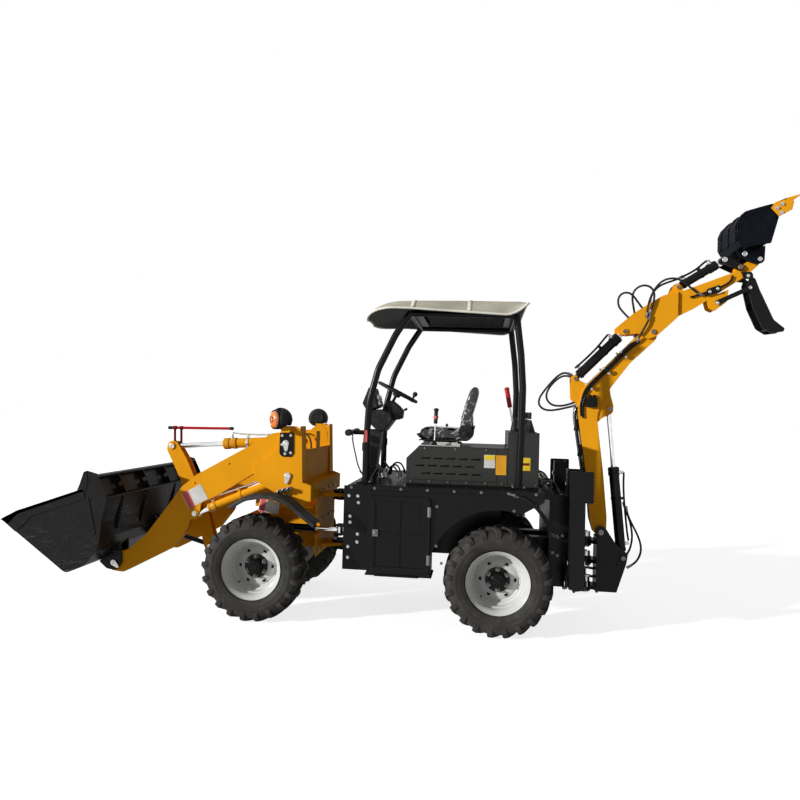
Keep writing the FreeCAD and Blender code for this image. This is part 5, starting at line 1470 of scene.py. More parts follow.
def lever(name, foot, top, rod_r, grip_r, grip_length, boot, grip_material, knob=0.0):
    """Hand lever: plated rod, shaped grip and ribbed rubber boot."""
    foot, top = rear(*foot), rear(*top)
    axis = (top - foot).normalized()
    length = (top - foot).length / MM

    def stick(bm):
        spin(bm, [(0, 0.01), (0, rod_r), (length - 10, rod_r), (length - 10, 0.01)], foot, axis, 20)
    rod = new_piece(f"{name}_rod", stick, STEEL, "rear_frame", smooth=40)
    start = length - grip_length
    r = grip_r

    def grip(bm):
        rings = [(start, 0.01), (start, r * 0.80), (start + 4, r * 0.95)]
        wide = (grip_length - 20) / 6
        for i in range(6):
            at = start + 8 + i * wide
            rings += [(at, r * 0.96), (at + wide * 0.25, r), (at + wide * 0.75, r),
                (at + wide, r * 0.93)]
        rings += [(length - 10, r * 1.02), (length - 2, r * 1.10 + knob), (length + 6, r * 1.05 + knob),
            (length + 12, r * 0.70 + knob), (length + 14.5, r * 0.3), (length + 15, 0.01)]
        spin(bm, rings, foot, axis, 28)
    handle = new_piece(f"{name}_grip", grip, grip_material, "rear_frame", smooth=50)
    pieces = [rod, handle]
    if boot:
        wide, tall = boot

        def bellows(bm):
            folds = 6
            rings = [(0, wide)]
            neck = rod_r + 4
            for i in range(folds):
                t0 = i / folds
                t1 = (i + 0.5) / folds
                rings += [(tall * t0 + 1, wide + (neck - wide) * t0),
                    (tall * t1, (wide + (neck - wide) * t1) * 0.86)]
            rings += [(tall, neck), (tall, rod_r * 0.9)]
            spin(bm, rings, foot, UP, 32)
        pieces.append(new_piece(f"{name}_boot", bellows, RUBBER, "rear_frame", 50))
    stand_for("control_levers", *pieces)


def levers():
    """The joystick, the brake, the throttle and the four backhoe levers."""
    lever("lever_joystick", (495, 270, 1312), (485, 270, 1588), 5.5, 15, 105, (30, 45), PLASTIC, 3)
    lever("lever_brake", (-120, 0, 1432), (-54, 0, 1770), 8, 18.5, 150, (36, 120), RED)
    lever("lever_throttle", (430, -280, 1312), (430, -280, 1462), 5, 10, 30, (20, 30), PLASTIC)
    for i, y in enumerate((-240, -80, 80, 240)):
        lever(f"lever_backhoe_{i}", (-225, y, 1434), (-225, y, 1574), 6, 9.5, 36, (44, 95), PLASTIC)

    def sleeve_ring(bm):
        spin(bm, [(208, 16.5), (208, 18.5), (232, 18.5), (232, 16.5)], rear(495, 270, 1312),
            (rear(485, 270, 1588) - rear(495, 270, 1312)), 24)
    ring = new_piece("lever_joystick_ring", sleeve_ring, PINK, "rear_frame", smooth=40)
    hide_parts("control_levers")


levers()


def steering():
    """Steering wheel with a thick rim, three flat spokes, boss cap and spinner knob."""
    hub = rear(820, 0, 1725)
    axis = Vector((-0.447, 0, 0.894)).normalized()
    side = Vector((0.894, 0, 0.447))
    flank = Vector((0, 1, 0))

    def rim(bm):
        steps, tube = 96, 16
        rings = []
        for i in range(steps):
            a = 2 * math.pi * i / steps
            out = side * math.cos(a) + flank * math.sin(a)
            grip = 0.0122 + 0.0008 * math.cos(a * 24)
            rings.append([bm.verts.new(hub + out * (0.168 + grip * math.cos(b)) + axis * grip *
                math.sin(b)) for b in [2 * math.pi * k / tube for k in range(tube)]])
        loft(bm, rings, loop=True, tube=True)
    wheel_rim = new_piece("wheel_rim_grip", rim, PLASTIC, "rear_frame", 70)

    def spokes(bm):
        for turn in (60, 180, 300):
            a = math.radians(turn)
            out = side * math.cos(a) + flank * math.sin(a)
            across_it = axis.cross(out)
            ends = []
            for r, w, sink in ((0.024, 0.0195, -0.016), (0.09, 0.013, -0.010), (0.160, 0.0104, 0.0)):
                centre = hub + out * r + axis * sink
                ends.append([bm.verts.new(centre + across_it * w * s + axis * h) for s, h
                    in ((-1, 0.003), (1, 0.003), (1, -0.004), (-1, -0.004))])
            loft(bm, ends, tube=True)
            bm.faces.new(ends[0])
            bm.faces.new(list(reversed(ends[-1])))
        spin(bm, [(-40, 22), (-34, 32), (-10, 34), (2, 30), (6, 22), (8, 0.01)], hub, axis, 40)
        spin(bm, [(-150, 11.5), (-36, 11.5), (-36, 0.01)], hub, axis, 24)
    arms = new_piece("wheel_spokes", spokes, PLASTIC, "rear_frame", 40, 1)
    foot = hub - side * 0.142 + flank * 0.092

    def spinner(bm):
        spin(bm, [(4, 10), (12, 8.5), (26, 7.5), (34, 10), (40, 16.5), (52, 20.5), (64, 17.5), (71, 9),
            (72.5, 0.01)], foot, axis, 32)
        spin(bm, [(-14, 16), (12, 16.5), (14, 12)], foot, axis, 24)
    knob = new_piece("wheel_spinner", spinner, PLASTIC, "rear_frame", 60)
    stand_for("steering_wheel", wheel_rim, arms, knob)


def dash():
    """Instrument pod, column clamp, switches, pedestal skirt and lamp bar."""
    covers = [plate(name, outline, -half, half, side_on(rear), PLASTIC, "rear_frame", edge,
        "black_plastic") for name, half, edge, outline
        in (("dash_pedestal", 70, 10, [(985, 1033), (1082, 1033, 4), (1064, 1420, 20),
        (935, 1420, 20)]), ("dash_lower_cover", 118, 12, [(905, 1408, 16), (960, 1408, 16),
        (1022, 1460, 24), (1046, 1490, 20), (1034, 1576, 16), (930, 1584, 20), (856, 1556, 20),
        (842, 1496, 20)]), ("dash_pod", 128, 10, [(960, 1600, 16), (1050, 1566, 12), (1088, 1628, 6),
        (1040, 1756, 8), (1002, 1752, 10)]), ("dash_column_shroud", 58, 12,
        [(774, 1512, 20), (850, 1494, 20), (910, 1510, 24), (936, 1596, 20), (900, 1655, 16),
        (856, 1656, 16), (804, 1616, 14), (768, 1576, 16)]))]

    def clamp(bm):
        axis = Vector((-0.447, 0, 0.894)).normalized()
        start = rear(820, 0, 1725) - axis * 0.150
        spin(bm, [(-60, 34), (0, 34), (4, 30), (10, 18), (12, 12.5)], start, axis, 32)
        bar(bm, rear(880, -92, 1545), rear(880, 92, 1545), 15, 20)
        for y in (-96, 78):
            bar(bm, rear(880, y, 1545), rear(880, y + 18, 1545), 24, 16, 3)
        bar(bm, rear(800, 60, 1560), rear(736, 150, 1586), 5, 12)
        bar(bm, rear(742, 142, 1584), rear(726, 164, 1590), 10, 16, 2)
    fixing = new_piece("dash_column_clamp", clamp, PLASTIC, "rear_frame", smooth=40)

    def gauges(bm):
        up = (rear(990, 0, 1744) - rear(950, 0, 1600)).normalized()
        out = Vector((-up.z, 0, up.x))
        for y, s in ((-72, 0.075), (0, 0.080), (72, 0.075), (-72, 0.030), (72, 0.030)):
            spot = rear(950, y, 1600) + up * s
            spin(bm, [(-4, 26), (6, 26), (7, 23), (3, 21), (3, 0.01)], spot, out, 32)
    dials = new_piece("dash_gauges", gauges, STEEL, "rear_frame", smooth=40)

    def keys(bm):
        for i in range(4):
            y = -66 + i * 34
            block(bm, rear(890, y, 1585), rear(916, y + 22, 1606))
        spin(bm, [(0, 12), (10, 12), (11, 9), (11, 0.01)], rear(936, 104, 1500), Vector((-1, 0, 0)), 20)
    switches = new_piece("dash_switches", keys, PLASTIC, "rear_frame", bevel=2)

    def frame_bar(bm):
        bar(bm, rear(1035, 0, 1389), rear(1196, 0, 1392), 19, 24)
        bar(bm, rear(1183, -196, 1392), rear(1183, 196, 1392), 21, 28, 3)
        for y in (-60, 60):
            block(bm, rear(1032, y - 4, 1360), rear(1064, y + 4, 1420))
    lamp_bar = new_piece("dash_lamp_bar", frame_bar, BLACK, "rear_frame", smooth=40)

    def grips(bm):
        for flank in (-1, 1):
            bar(bm, rear(1183, flank * 130, 1392), rear(1183, flank * 199, 1392), 27, 28, 4)
    ends = new_piece("dash_bar_grips", grips, RUBBER, "rear_frame", 40)
    stand_for("dash_column", *covers, fixing, dials, switches, lamp_bar, ends)
    hose("dash_cable", [rear(*p) for p in ((1172, 60, 1374), (1174, 62, 1350), (1164, 66, 1290),
        (1142, 70, 1210), (1126, 70, 1140), (1104, 66, 1090), (1090, 60, 1064), (1080, 56, 1054))], 5.5,
        "rear_frame")


steering()
dash()


# -------------------------------------------------------- backhoe: shared values
SWING_X, SWING_LEVELS = -690, (250, 450, 600)
BOOM_PIN, BOOM_BASE, BOOM_EYE = (-790, 680), (-960, 490), (-840, 1630)
DIPPER_PIN, DIPPER_BASE, DIPPER_TAIL = (-1150, 2230), (-580, 1860), (-940, 2230)
CURL_BASE, CURL_EYE = (-1335, 2578), (-1660, 2783)
GUIDE_PIN, HOE_LINK, HOE_PIN = (-1777, 2727), (-1792, 2820), (-1900, 2780)
HOE_HALF = 200
LEG_X, LEG_Y, LEG_BASE, LEG_EYE = -530, 610, (430, 1080), (606, 550)


def cylinder(name, base, eye, place, radii, end, body, paint_it, ports, lines):
    """Gland, ports and steel lines on one cylinder; place turns (u, z, sway) into metres."""
    base, eye = Vector(base), Vector(eye)
    along = (eye - base).normalized()
    above = Vector((-along.y, along.x))
    b, r = radii

    def spot(s, lift, sway=0.0):
        point = base + along * s + above * lift
        return place(point.x, point.y, sway)
    axis = (spot(1, 0) - spot(0, 0)).normalized()
    up = (spot(0, 1) - spot(0, 0)).normalized()

    def gland(bm):
        spin(bm, [(-62, b), (-60, b + 6), (-34, b + 6), (-32, b + 2), (-26, b + 2), (-24, b + 5.5),
            (-4, b + 5.5), (0, b + 2), (5, b - 6), (6, r + 4), (6, r + 0.6)], spot(end, 0), axis, 48)
        spin(bm, [(0, b), (1, b + 3), (12, b + 3), (13, b)], spot(52, 0), axis, 48)
    pieces = [new_piece(f"{name}_gland", gland, paint_it, body, smooth=35)]

    def bosses(bm):
        for s, side, sway in ports:
            lift = up * math.copysign(1, side)
            foot = spot(s, side * (b - 5), sway)
            spin(bm, [(0, 15), (16, 15), (18, 13), (18, 9)], foot, lift, 24)
            spin(bm, [(18, 13.5), (34, 13.5), (36, 10), (36, 4)], foot, lift, 6)
    pieces.append(new_piece(f"{name}_ports", bosses, STEEL, body))
    for i, route_points in enumerate(lines):
        pieces.append(pipe(f"{name}_line_{i}", [spot(*p) for p in route_points], 8, BLACK, body))

    def bands(bm):
        for i, route_points in enumerate(lines):
            s, lift, sway = route_points[len(route_points) // 2]
            spin(bm, [(0, b - 1), (0, b + 3), (18, b + 3), (18, b - 1)], spot(s, 0), axis, 40)
            block_at(bm, spot(s + 9, lift * 0.86, sway), axis, up, (18, 30, 22))
    if lines:
        pieces.append(new_piece(f"{name}_bands", bands, BLACK, body, bevel=1))
    return pieces


def in_plane(x, z, sway):
    return rear(x, sway, z)


def hoe_cylinders():
    cylinder("boom_ram", BOOM_BASE, BOOM_EYE, in_plane, (38, 19), 689, "boom_barrel", BLACK,
        [(650, 1, 12), (96, 1, -12)], [[(650, 62, 12), (650, 70, 12), (636, 72, 12), (560, 62, 12),
        (440, 56, 12), (300, 56, 12), (160, 58, 12), (120, 62, 14)]])
    cylinder("dipper_ram", DIPPER_BASE, DIPPER_TAIL, in_plane, (36, 19), 462, "dipper_barrel", BLACK,
        [(425, -1, 10), (90, -1, -10)], [[(425, -60, 10), (425, -68, 10), (408, -70, 10),
        (300, -56, 10), (200, -54, 10), (110, -56, 10), (60, -60, 14)]])
    cylinder("curl_ram", CURL_BASE, CURL_EYE, in_plane, (32, 17), 333, "curl_barrel", BLACK,
        [(300, -1, 8), (84, -1, -8)], [[(300, -54, 8), (300, -62, 8), (284, -64, 8), (200, -48, 8),
        (150, -48, 8), (110, -50, 8), (70, -56, 10)]])
    for flank, side in SIDES:
        cylinder(f"leg_ram_{side}", LEG_BASE, LEG_EYE, lambda y, z, sway,
            flank=flank: rear(LEG_X + sway, flank * y, z), (28, 15), 511, f"stabilizer_{side}_barrel",
            BLACK, [(480, 1, 0), (70, 1, 0)], [[(480, 50, 0), (480, 58, 0), (466, 60, 0), (400, 50, 0),
            (260, 46, 0), (130, 48, 0), (84, 54, 0), (70, 56, 0)]])


def hoe_pins():
    for body, spots in (("boom", [(*BOOM_EYE, 48, 15), (*DIPPER_BASE, 49, 15)]),
            ("dipper", [(*DIPPER_TAIL, 78, 16), (*DIPPER_PIN, 78, 18), (*CURL_BASE, 47, 13),
            (*GUIDE_PIN, 76, 17)]), ("guide_links", [(*CURL_EYE, 75, 20)]),
            ("backhoe_bucket", [(*HOE_PIN, 103, 17), (*HOE_LINK, 102, 20)]),
            ("swing_post", [(*BOOM_PIN, 80, 21), (*BOOM_BASE, 80, 17)])):
        for i, (x, z, y, radius) in enumerate(spots):
            pin_faces(f"{body}_pin_{i}", [(x, z, y), (x, z, -y)], rear, body, radius, STEEL if body
                in ("guide_links", "backhoe_bucket") else DARK_STEEL)
    for flank, side in SIDES:
        for name, pin, tail, y, body in (("foot", BOOM_BASE, (-925, 430), 72, "swing_post"),):
            keeper(f"hoe_keeper_{name}_{side}", pin, tail, rear, flank * y, flank, body, 30, BLACK)

    def leg_pins(bm, flank):
        for sign in (-1, 1):
            out = Vector((sign, 0, 0))
            for y, z, reach, r in ((LEG_Y, 410, 74, 17), (*LEG_BASE, 56, 13.5)):
                spin(bm, [(-2, r), (3, r), (4, r * 0.9), (3, r * 0.5), (3, 0.01)],
                    rear(LEG_X + sign * reach, flank * y, z), out, 28)
    for flank, side in SIDES:
        new_piece(f"leg_pins_{side}", lambda bm, f=flank: leg_pins(bm, f), STEEL,
            "rear_frame", smooth=35)

        def eye_pins(bm):
            for sign in (-1, 1):
                spin(bm, [(-2, 17), (3, 17), (4, 15), (4, 0.01)],
                    rear(LEG_X + sign * 56, flank * LEG_EYE[0], LEG_EYE[1]), Vector((sign, 0, 0)), 28)
        new_piece(f"leg_eye_pins_{side}", eye_pins, STEEL, f"stabilizer_{side}", smooth=35)


def boom_lines():
    """Steel lines, saddle clamps and junction block on the boom's flanks."""
    for flank, side in SIDES:
        for i, shift in enumerate((0, 20)):
            y = flank * 58
            run = [(-628, 1570), (-622, 1620), (-624, 1690), (-650, 1770), (-700, 1835), (-770, 1905),
                (-850, 1985), (-930, 2072), (-1000, 2140), (-1040, 2164)]
            pipe(f"boom_line_{side}_{i}", [rear(x - shift * 0.75, y, z - shift * 0.66) for x, z in run],
                8, BLACK, "boom")

        def saddles(bm):
            for x, z in ((-674, 1806), (-800, 1930), (-925, 2058)):
                block_at(bm, rear(x - 6, flank * 60, z - 6), Vector((-0.69, 0, 0.72)),
                    Vector((0.72, 0, 0.69)), (26, 74, 22))
        new_piece(f"boom_saddles_{side}", saddles, BLACK, "boom", bevel=1.5)
        bolts(f"boom_saddle_bolts_{side}", [rear(x + dx, flank * 71, z + dx) for x, z
            in ((-680, 1800), (-806, 1924), (-931, 2052)) for dx in (-20, 20)],
            (0, flank, 0), 7, "boom")

        def junction(bm):
            low, high = sorted((flank * 50, flank * 82))
            block(bm, rear(-744, low, 1640), rear(-668, high, 1712))
            for x, z in ((-724, 1722), (-690, 1722), (-658, 1694), (-658, 1660)):
                level = z > 1715
                way = UP if level else Vector((1, 0, 0))
                bar(bm, rear(x, flank * 66, z) - way * 0.012,
                    rear(x, flank * 66, z) + way * 0.014, 11, 6)
        new_piece(f"boom_junction_{side}", junction, BLACK, "boom", bevel=2)

        def clamp(bm):
            low, high = sorted((flank * 50, flank * 74))
            prism(bm, rounded([(-1641, 2540, 8), (-1628, 2592, 8), (-1540, 2560, 8), (-1525, 2504, 8)]),
                low, high, side_on(rear))
        new_piece(f"dipper_clamp_{side}", clamp, BLACK, "dipper", bevel=3)
        bolts(f"dipper_clamp_bolts_{side}", [rear(x, flank * 74, z) for x, z
            in ((-1612, 2562), (-1556, 2538))], (0, flank, 0), 9, "dipper")
        pipe(f"dipper_line_{side}", [rear(x, flank * 62, z) for x, z in ((-1420, 2498), (-1470, 2512),
            (-1540, 2538), (-1620, 2568), (-1680, 2596), (-1716, 2628), (-1722, 2664))], 7,
            BLACK, "dipper")

        def welds(bm):
            for a, b in (((-1262, 2392), (-1262, 2516)), ((-1345, 2372), (-1345, 2530))):
                bar(bm, rear(a[0], flank * 50, a[1]), rear(b[0], flank * 50, b[1]), 4, 10)
        new_piece(f"dipper_welds_{side}", welds, YELLOW, "dipper", 60)


def riser_lines():
    """Hose bundle clipped to the front of the lower boom."""
    for i, (y, out, material) in enumerate(((38, 12, BLACK), (18, 14, PIPE_STEEL), (-4, 12, BLACK),
            (-26, 14, BLACK))):
        pipe(f"boom_riser_{i}", [rear(x + out, y, z) for x, z in ((-606, 1640), (-592, 1600),
            (-606, 1500), (-630, 1340), (-656, 1180), (-674, 1070), (-686, 980), (-700, 930))], 9,
            material, "boom")

    def clips(bm):
        for x, z in ((-610, 1500), (-640, 1300), (-668, 1120)):
            block_at(bm, rear(x + 6, 6, z), Vector((0.99, 0, 0.15)), Vector((0, 1, 0)), (36, 92, 24))
    new_piece("boom_riser_clips", clips, BLACK, "boom", bevel=1.5)


def hoe_bucket_trim():
    tip = -2131
    tooth = [(-1958, 3146), (-1962, 3176), (-2036, 3206), (tip, 3233), (tip, 3222),
        (-2072, 3180), (-2030, 3160)]

    def teeth(bm):
        for y in (-172, -58, 58, 172):
            prism(bm, tooth, y - 27, y + 27, side_on(rear))
    new_piece("hoe_teeth", teeth, YELLOW, "backhoe_bucket", bevel=3)
    blade = [(-1984, 3066, 6), (-2074, 3117, 8), (-2087, 3179, 8), (-2050, 3198, 6), (-1958, 3168, 8),
        (-1927, 3130, 8)]
    for flank, side in SIDES:
        low, high = sorted((flank * (HOE_HALF + 8), flank * (HOE_HALF + 13)))
        plate(f"hoe_cutter_{side}", blade, low, high, side_on(rear), YELLOW, "backhoe_bucket", 1.5,
            "yellow_paint")
        bolts(f"hoe_cutter_bolts_{side}", [rear(x, flank * (HOE_HALF + 13), z) for x, z
            in ((-1969, 3128), (-2003, 3157), (-1998, 3092))], (0, flank, 0), 11, "backhoe_bucket")
        rim_low, rim_high = sorted((flank * HOE_HALF, flank * (HOE_HALF + 5)))
        plate(f"hoe_rim_{side}", [(-1742, 2838), (-1872, 2866), (-1935, 2872, 16), (-1986, 3064),
            (-1976, 3066), (-1926, 2886, 12), (-1872, 2880), (-1752, 2852)], rim_low, rim_high,
            side_on(rear), HOE_BLACK, "backhoe_bucket", 1, "black_paint")
        plate(f"hoe_heel_{side}", [(-1716, 2990, 20), (-1712, 3024, 40), (-1768, 3100, 40),
            (-1930, 3150), (-1932, 3132), (-1776, 3080, 30), (-1732, 3016, 30), (-1734, 2990)], rim_low,
            rim_high, side_on(rear), HOE_BLACK, "backhoe_bucket", 1, "black_paint")

    def straps(bm):
        outline = rounded([(-1694, 2890), (-1694, 3022, 64), (-1757, 3117, 54), (-1942, 3168),
            (-1940, 3157), (-1762, 3105, 46), (-1706, 3018, 60), (-1706, 2892)])
        for y in (-150, 0, 150):
            prism(bm, outline, y - 24, y + 24, side_on(rear))
    new_piece("hoe_straps", straps, HOE_BLACK, "backhoe_bucket", bevel=1)

    def seams(bm):
        for y in (-HOE_HALF, HOE_HALF):
            line = [(-1702, 2905), (-1702, 3018), (-1722, 3066), (-1762, 3108),
                (-1850, 3135), (-1942, 3160)]
            for a, b in zip(line, line[1:]):
                bar(bm, rear(a[0], y, a[1]), rear(b[0], y, b[1]), 4.5, 10)
    new_piece("hoe_welds", seams, HOE_BLACK, "backhoe_bucket", 60)


def thumb():
    """Two hooked tines with their cross tube, strut and pivot cheeks."""
    tine = rounded([(-1830, 2600, 20), (-1850, 2660, 22), (-1885, 2640, 20), (-1917, 2556, 60),
        (-2020, 2330, 60), (-2098, 2266, 8), (-2090, 2242, 8), (-2004, 2230, 30), (-1938, 2272, 40),
        (-1870, 2424, 80)])
    strut = rounded([(-1600, 2470, 12), (-1606, 2434, 12), (-1850, 2552, 12), (-1850, 2590, 12)])
    cheek = rounded([(-1780, 2690), (-1860, 2690, 20), (-1872, 2630, 20), (-1800, 2640)])

    def build(bm):
        for s in (-1, 1):
            prism(bm, tine, *sorted((s * 50.3, s * 64.3)), side_on(rear))
            prism(bm, strut, *sorted((s * 64.5, s * 74)), side_on(rear))
            prism(bm, cheek, *sorted((s * 64.5, s * 72)), side_on(rear))
        bar(bm, rear(-1905, -51, 2450), rear(-1905, 51, 2450), 18, 28)
        bar(bm, rear(-1985, -51, 2262), rear(-1985, 51, 2262), 14, 24)
        block(bm, rear(-2088, -51, 2246), rear(-2060, 51, 2258))
    piece = new_piece("thumb_tines", build, BLACK, "dipper", 30, 2)
    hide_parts("thumb")
    pin_faces("thumb_pins", [(x, z, s * y) for x, z, y
        in ((-1612, 2453, 74), (-1846, 2571, 74), (-1830, 2660, 72)) for s in (-1, 1)],
        rear, "dipper", 13)


def stabilizer_trim(flank):
    side = "left" if flank > 0 else "right"
    body = f"stabilizer_{side}"
    out_x, in_x = LEG_X - 102, LEG_X + 53
    low, top = 976, 1186
    outline = [(in_x, low), (out_x, low)]
    for i in range(10):
        z = low + 4 + i * 20
        outline += [(out_x, z), (out_x - 8, z + 9), (out_x, z + 18)]
    outline += [(out_x, top), (in_x, top)]
    for i in reversed(range(10)):
        z = low + 4 + i * 20
        outline += [(in_x, z + 18), (in_x + 8, z + 9), (in_x, z)]
    span = sorted((flank * 641, flank * 653))
    plate(f"pad_teeth_{side}", outline, span[0], span[1], side_on(rear), BLACK, body, 1, "black_paint")

    def gussets(bm):
        for x in (LEG_X - 44, LEG_X + 34):
            prism(bm, [(flank * 612, 982), (flank * 640, 982), (flank * 640, 1130)], x, x + 10,
                lambda y, z, x: rear(x, y, z))
    new_piece(f"pad_gussets_{side}", gussets, BLACK, body, bevel=1)

    def edges(bm):
        for x in (LEG_X - 52, LEG_X + 40):
            block(bm, rear(x, *sorted((flank * 602, flank * 612))[:1], 470),
                rear(x + 12, sorted((flank * 602, flank * 612))[1], 960))
    new_piece(f"leg_edges_{side}", edges, BLACK, body, bevel=2)
    bolts(f"rib_bolts_{side}", [rear(x, flank * 400, z) for x, z in ((-392, 574), (-428, 554),
        (-460, 699), (-560, 470), (-560, 800))], (0, flank, 0), 9, "rear_frame", DARK_STEEL)


def swing_trim():
    def caps(bm):
        for z in SWING_LEVELS:
            spin(bm, [(0, 22), (4, 34), (36, 34), (40, 30), (40, 10), (48, 9), (48, 0.01)],
                rear(SWING_X, 0, z + 34), UP, 32)
            spin(bm, [(0, 22), (4, 30), (10, 30), (13, 26), (13, 0.01)],
                rear(SWING_X, 0, z - 34), DOWN, 32)
    new_piece("swing_pin_caps", caps, STEEL, "rear_frame", smooth=35)
    spots = [rear(-600.5, y, z) for y in (-350, -220, 220, 350) for z in (380, 560, 740, 900)]
    bolts("mount_bolts", spots, (-1, 0, 0), 12, "rear_frame", DARK_STEEL)

    def valve_bank(bm):
        block(bm, rear(-372, -200, 958), rear(-312, 200, 1000))
        block(bm, rear(-372, -170, 1034), rear(-316, 170, 1086))
        for y in (-140, -100, -60, -20, 20, 60, 100, 140):
            bar(bm, rear(-346, y, 1084), rear(-346, y, 1102), 12, 6)
    new_piece("valve_bank", valve_bank, DARK_STEEL, "rear_frame", bevel=2)


hoe_cylinders()
hoe_pins()
boom_lines()
riser_lines()
hoe_bucket_trim()
thumb()
stabilizer_trim(1)
stabilizer_trim(-1)
swing_trim()


# ------------------------------------------------------------- hydraulic hoses
def hoe_hoses():
    """Free hoses of the backhoe; each list is (x, y, z) in chassis millimetres."""
    for i, (body, other, length, points) in enumerate((("boom", None, 0.70,
            [(-556, 33, 1888), (-506, 34, 1912), (-450, 36, 1886), (-396, 38, 1828), (-340, 40, 1758),
            (-304, 42, 1700), (-302, 42, 1650), (-336, 42, 1616), (-390, 40, 1606), (-462, 38, 1618),
            (-530, 35, 1636), (-590, 33, 1652)]), ("boom", None, 0.55,
            [(-560, -33, 1878), (-508, -34, 1892), (-452, -36, 1862), (-404, -38, 1812),
            (-372, -40, 1758), (-366, -40, 1710), (-388, -40, 1668), (-430, -38, 1646),
            (-490, -36, 1646), (-545, -34, 1660), (-594, -33, 1680)]),
            ("boom", "dipper", 0.70, [(-1022, 30, 2192), (-1014, 30, 2262), (-985, 31, 2330),
            (-935, 34, 2380), (-900, 38, 2420), (-888, 42, 2462), (-896, 44, 2506), (-928, 46, 2534),
            (-972, 48, 2534), (-1006, 48, 2506), (-1040, 47, 2458), (-1080, 44, 2404),
            (-1120, 42, 2364), (-1150, 40, 2345)]), ("boom", "dipper", 0.70,
            [(-1046, -20, 2218), (-1040, -20, 2290), (-1030, -12, 2370), (-1012, 5, 2440),
            (-998, 25, 2500), (-1006, 45, 2548), (-1040, 64, 2580), (-1086, 77, 2588),
            (-1130, 85, 2566), (-1150, 88, 2520), (-1146, 88, 2465), (-1130, 86, 2410),
            (-1118, 80, 2362)]), ("boom", "dipper", 0.23, [(-1030, 66, 2150), (-1044, 78, 2184),
            (-1062, 88, 2224), (-1086, 92, 2268), (-1108, 90, 2312), (-1122, 84, 2352)]),
            ("dipper", None, 0.65, [(-1096, 82, 2340), (-1100, 90, 2400), (-1110, 92, 2460),
            (-1132, 90, 2520), (-1164, 86, 2575), (-1205, 82, 2618), (-1262, 78, 2640),
            (-1320, 74, 2638), (-1372, 70, 2610), (-1425, 66, 2566), (-1470, 63, 2530),
            (-1505, 62, 2512)]), ("dipper", "curl_barrel", 0.36, [(-1128, 30, 2450), (-1136, 30, 2500),
            (-1160, 28, 2552), (-1204, 22, 2594), (-1262, 14, 2620), (-1320, 6, 2640), (-1352, 2, 2656),
            (-1378, 0, 2672)]), ("boom_barrel", "swing_post", 0.53, [(-984, 20, 880), (-994, 24, 826),
            (-1020, 30, 764), (-1058, 36, 692), (-1088, 42, 622), (-1098, 48, 556), (-1080, 54, 494),
            (-1040, 58, 444), (-992, 62, 418)]), ("boom_barrel", "swing_post", 0.46,
            [(-972, -20, 904), (-988, -24, 850), (-1020, -30, 780), (-1042, -38, 700),
            (-1050, -46, 626), (-1042, -52, 560), (-1024, -58, 508), (-1000, -64, 472)]))):
        hose(f"hoe_hose_{i}", [rear(*p) for p in points], 8, body, other)


def frame_hoses():
    """Hoses from the control valve down past the deck to the backhoe frame."""
    for flank, side in SIDES:
        for i, shift in enumerate((0, 24)):
            hose(f"deck_hose_{side}_{i}", [rear(x - shift, flank * y, z - shift * 0.4) for x, y, z
                in ((-70, 626, 1010), (-124, 636, 1002), (-182, 636, 976), (-240, 622, 930),
                (-288, 588, 874), (-328, 538, 812), (-366, 476, 752), (-404, 420, 700))], 8,
                "rear_frame")
            hose(f"valve_hose_{side}_{i}", [rear(x, flank * (y - shift), z) for x, y, z
                in ((-300, 300, 1090), (-344, 318, 1104), (-392, 350, 1084), (-424, 370, 1036),
                (-440, 374, 1010), (-450, 372, 985), (-456, 368, 962))], 8, "rear_frame")


def deck_hoses():
    for i, points in enumerate(([(868, -48, 1058), (864, -54, 1104), (846, -74, 1144),
            (806, -108, 1150), (774, -140, 1112), (764, -160, 1056)],
            [(868, -16, 1058), (864, -6, 1100), (844, 22, 1138), (802, 62, 1140), (774, 92, 1104),
            (764, 110, 1056)], [(868, 32, 1058), (866, 44, 1100), (850, 84, 1134), (812, 136, 1130),
            (786, 172, 1096), (776, 196, 1056)], [(936, 78, 1058), (940, 96, 1100), (944, 144, 1136),
            (930, 202, 1130), (902, 244, 1094), (884, 262, 1056)])):
        hose(f"floor_hose_{i}", [rear(*p) for p in points], 7, "rear_frame")


hoe_hoses()
frame_hoses()
deck_hoses()


# ------------------------------------------------------- paint on the CAD nodes
SLOT_MATERIALS = {"yellow_paint": YELLOW, "black_paint": BLACK, "grey_paint": HOOD,
    "wheel_silver": SILVER, "tyre_rubber": TYRE, "chrome_rod": CHROME, "canopy_grey": CANOPY,
    "black_vinyl": PLASTIC, "black_plastic": PLASTIC, "cast_engine": BLACK}
NODE_MATERIALS = {"loader_bucket": SCUFFED, "backhoe_bucket": HOE_BLACK, "thumb": SCUFFED,
    "front_fenders": FENDER}
for part in frame["record"]["subparts"]:
    node = frame["nodes"][part["node"]]
    node.data.materials.clear()
    node.data.materials.append(NODE_MATERIALS.get(part["node"], SLOT_MATERIALS[part["material_slot"]]))


# ------------------------------------------------------- stage, light, camera
SKY = 0.20


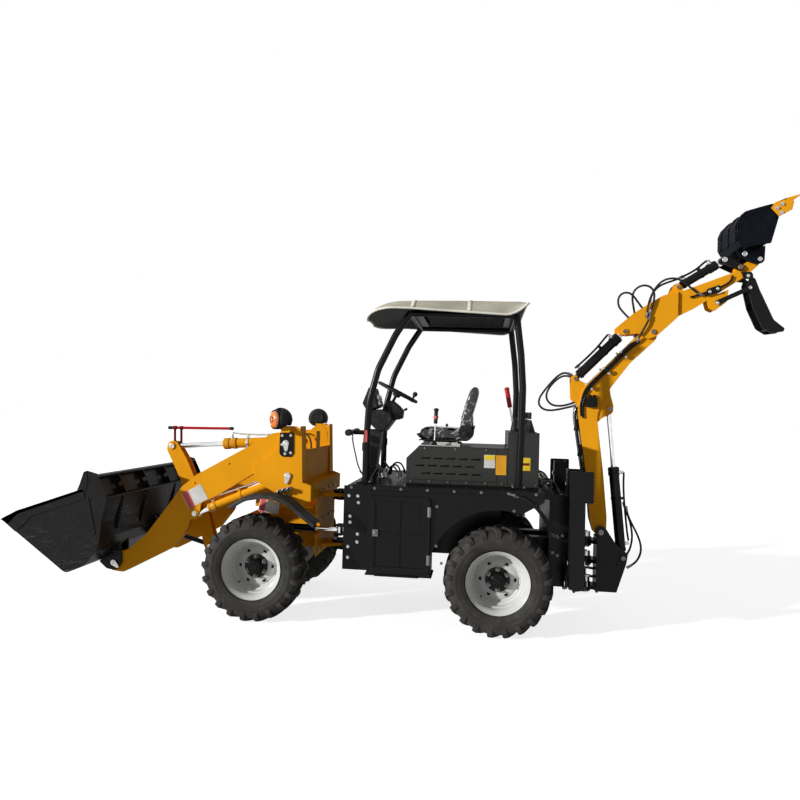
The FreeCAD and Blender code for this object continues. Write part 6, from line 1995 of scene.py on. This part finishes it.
def camera():
    """The photograph's viewpoint: the machine's left side, a little behind its middle."""
    yaw, pitch, roll = math.radians(7.131), math.radians(0.924), math.radians(1.458)
    forward = Vector((math.sin(yaw), -math.cos(yaw), 0))
    right = Vector((-math.cos(yaw), -math.sin(yaw), 0))
    look = forward * math.cos(pitch) + UP * math.sin(pitch)
    above = UP * math.cos(pitch) - forward * math.sin(pitch)
    across = right * math.cos(roll) + above * math.sin(roll)
    above = above * math.cos(roll) - right * math.sin(roll)
    data = bpy.data.cameras.new("camera")
    data.sensor_width = 36.0
    data.lens = 29.31
    data.clip_end = 200.0
    rig = bpy.data.objects.new("camera", data)
    bpy.context.scene.collection.objects.link(rig)
    turn = Matrix((across, above, -look)).transposed().to_4x4()
    rig.matrix_world = Matrix.Translation(rear(144, 5253, 1577)) @ turn
    bpy.context.scene.camera = rig


def stage():
    bpy.ops.mesh.primitive_plane_add(size=120, location=(0, 0, 0))
    floor = bpy.context.object
    floor.name = "floor"
    n = Nodes("floor")
    path = n.add("ShaderNodeLightPath")
    seen = n.maths("MAXIMUM", path.outputs["Is Camera Ray"], path.outputs["Is Glossy Ray"])
    seen = n.maths("MAXIMUM", seen, path.outputs["Is Transmission Ray"])
    glow = n.add("ShaderNodeEmission")
    glow.inputs["Color"].default_value = (1, 1, 1, 1)
    n.feed(n.shader.inputs["Base Color"], (0.55, 0.55, 0.55, 1))
    n.shader.inputs["Roughness"].default_value = 0.9
    n.feed(glow.inputs["Strength"], n.maths("MULTIPLY", seen, 0.78))
    both = n.add("ShaderNodeAddShader")
    n.feed(both.inputs[0], n.shader.outputs[0])
    n.feed(both.inputs[1], glow.outputs[0])
    n.feed(n.tree.nodes["Material Output"].inputs["Surface"], both.outputs[0])
    floor.data.materials.append(n.material)

    world = bpy.data.worlds.new("studio")
    bpy.context.scene.world = world
    world.use_nodes = True
    tree = world.node_tree
    back = tree.nodes["Background"]
    rays = tree.nodes.new("ShaderNodeLightPath")
    seen = tree.nodes.new("ShaderNodeMath")
    seen.operation = "MAXIMUM"
    tree.links.new(rays.outputs["Is Camera Ray"], seen.inputs[0])
    tree.links.new(rays.outputs["Is Glossy Ray"], seen.inputs[1])
    more = tree.nodes.new("ShaderNodeMath")
    more.operation = "MAXIMUM"
    tree.links.new(seen.outputs[0], more.inputs[0])
    tree.links.new(rays.outputs["Is Transmission Ray"], more.inputs[1])
    strength = tree.nodes.new("ShaderNodeMath")
    strength.operation = "MULTIPLY_ADD"
    tree.links.new(more.outputs[0], strength.inputs[0])
    strength.inputs[1].default_value = 1.0 - SKY
    strength.inputs[2].default_value = SKY
    tree.links.new(strength.outputs[0], back.inputs["Strength"])
    back.inputs["Color"].default_value = (1, 1, 1, 1)

    data = bpy.data.lights.new("sun", "SUN")
    data.energy = 4.2
    data.angle = math.radians(2)
    sun = bpy.data.objects.new("sun", data)
    bpy.context.scene.collection.objects.link(sun)
    towards = Vector((0.84, 0.50, 0.23))
    sun.rotation_euler = towards.to_track_quat("Z", "Y").to_euler()


camera()
stage()
bpy.context.scene.view_settings.view_transform = "Standard"
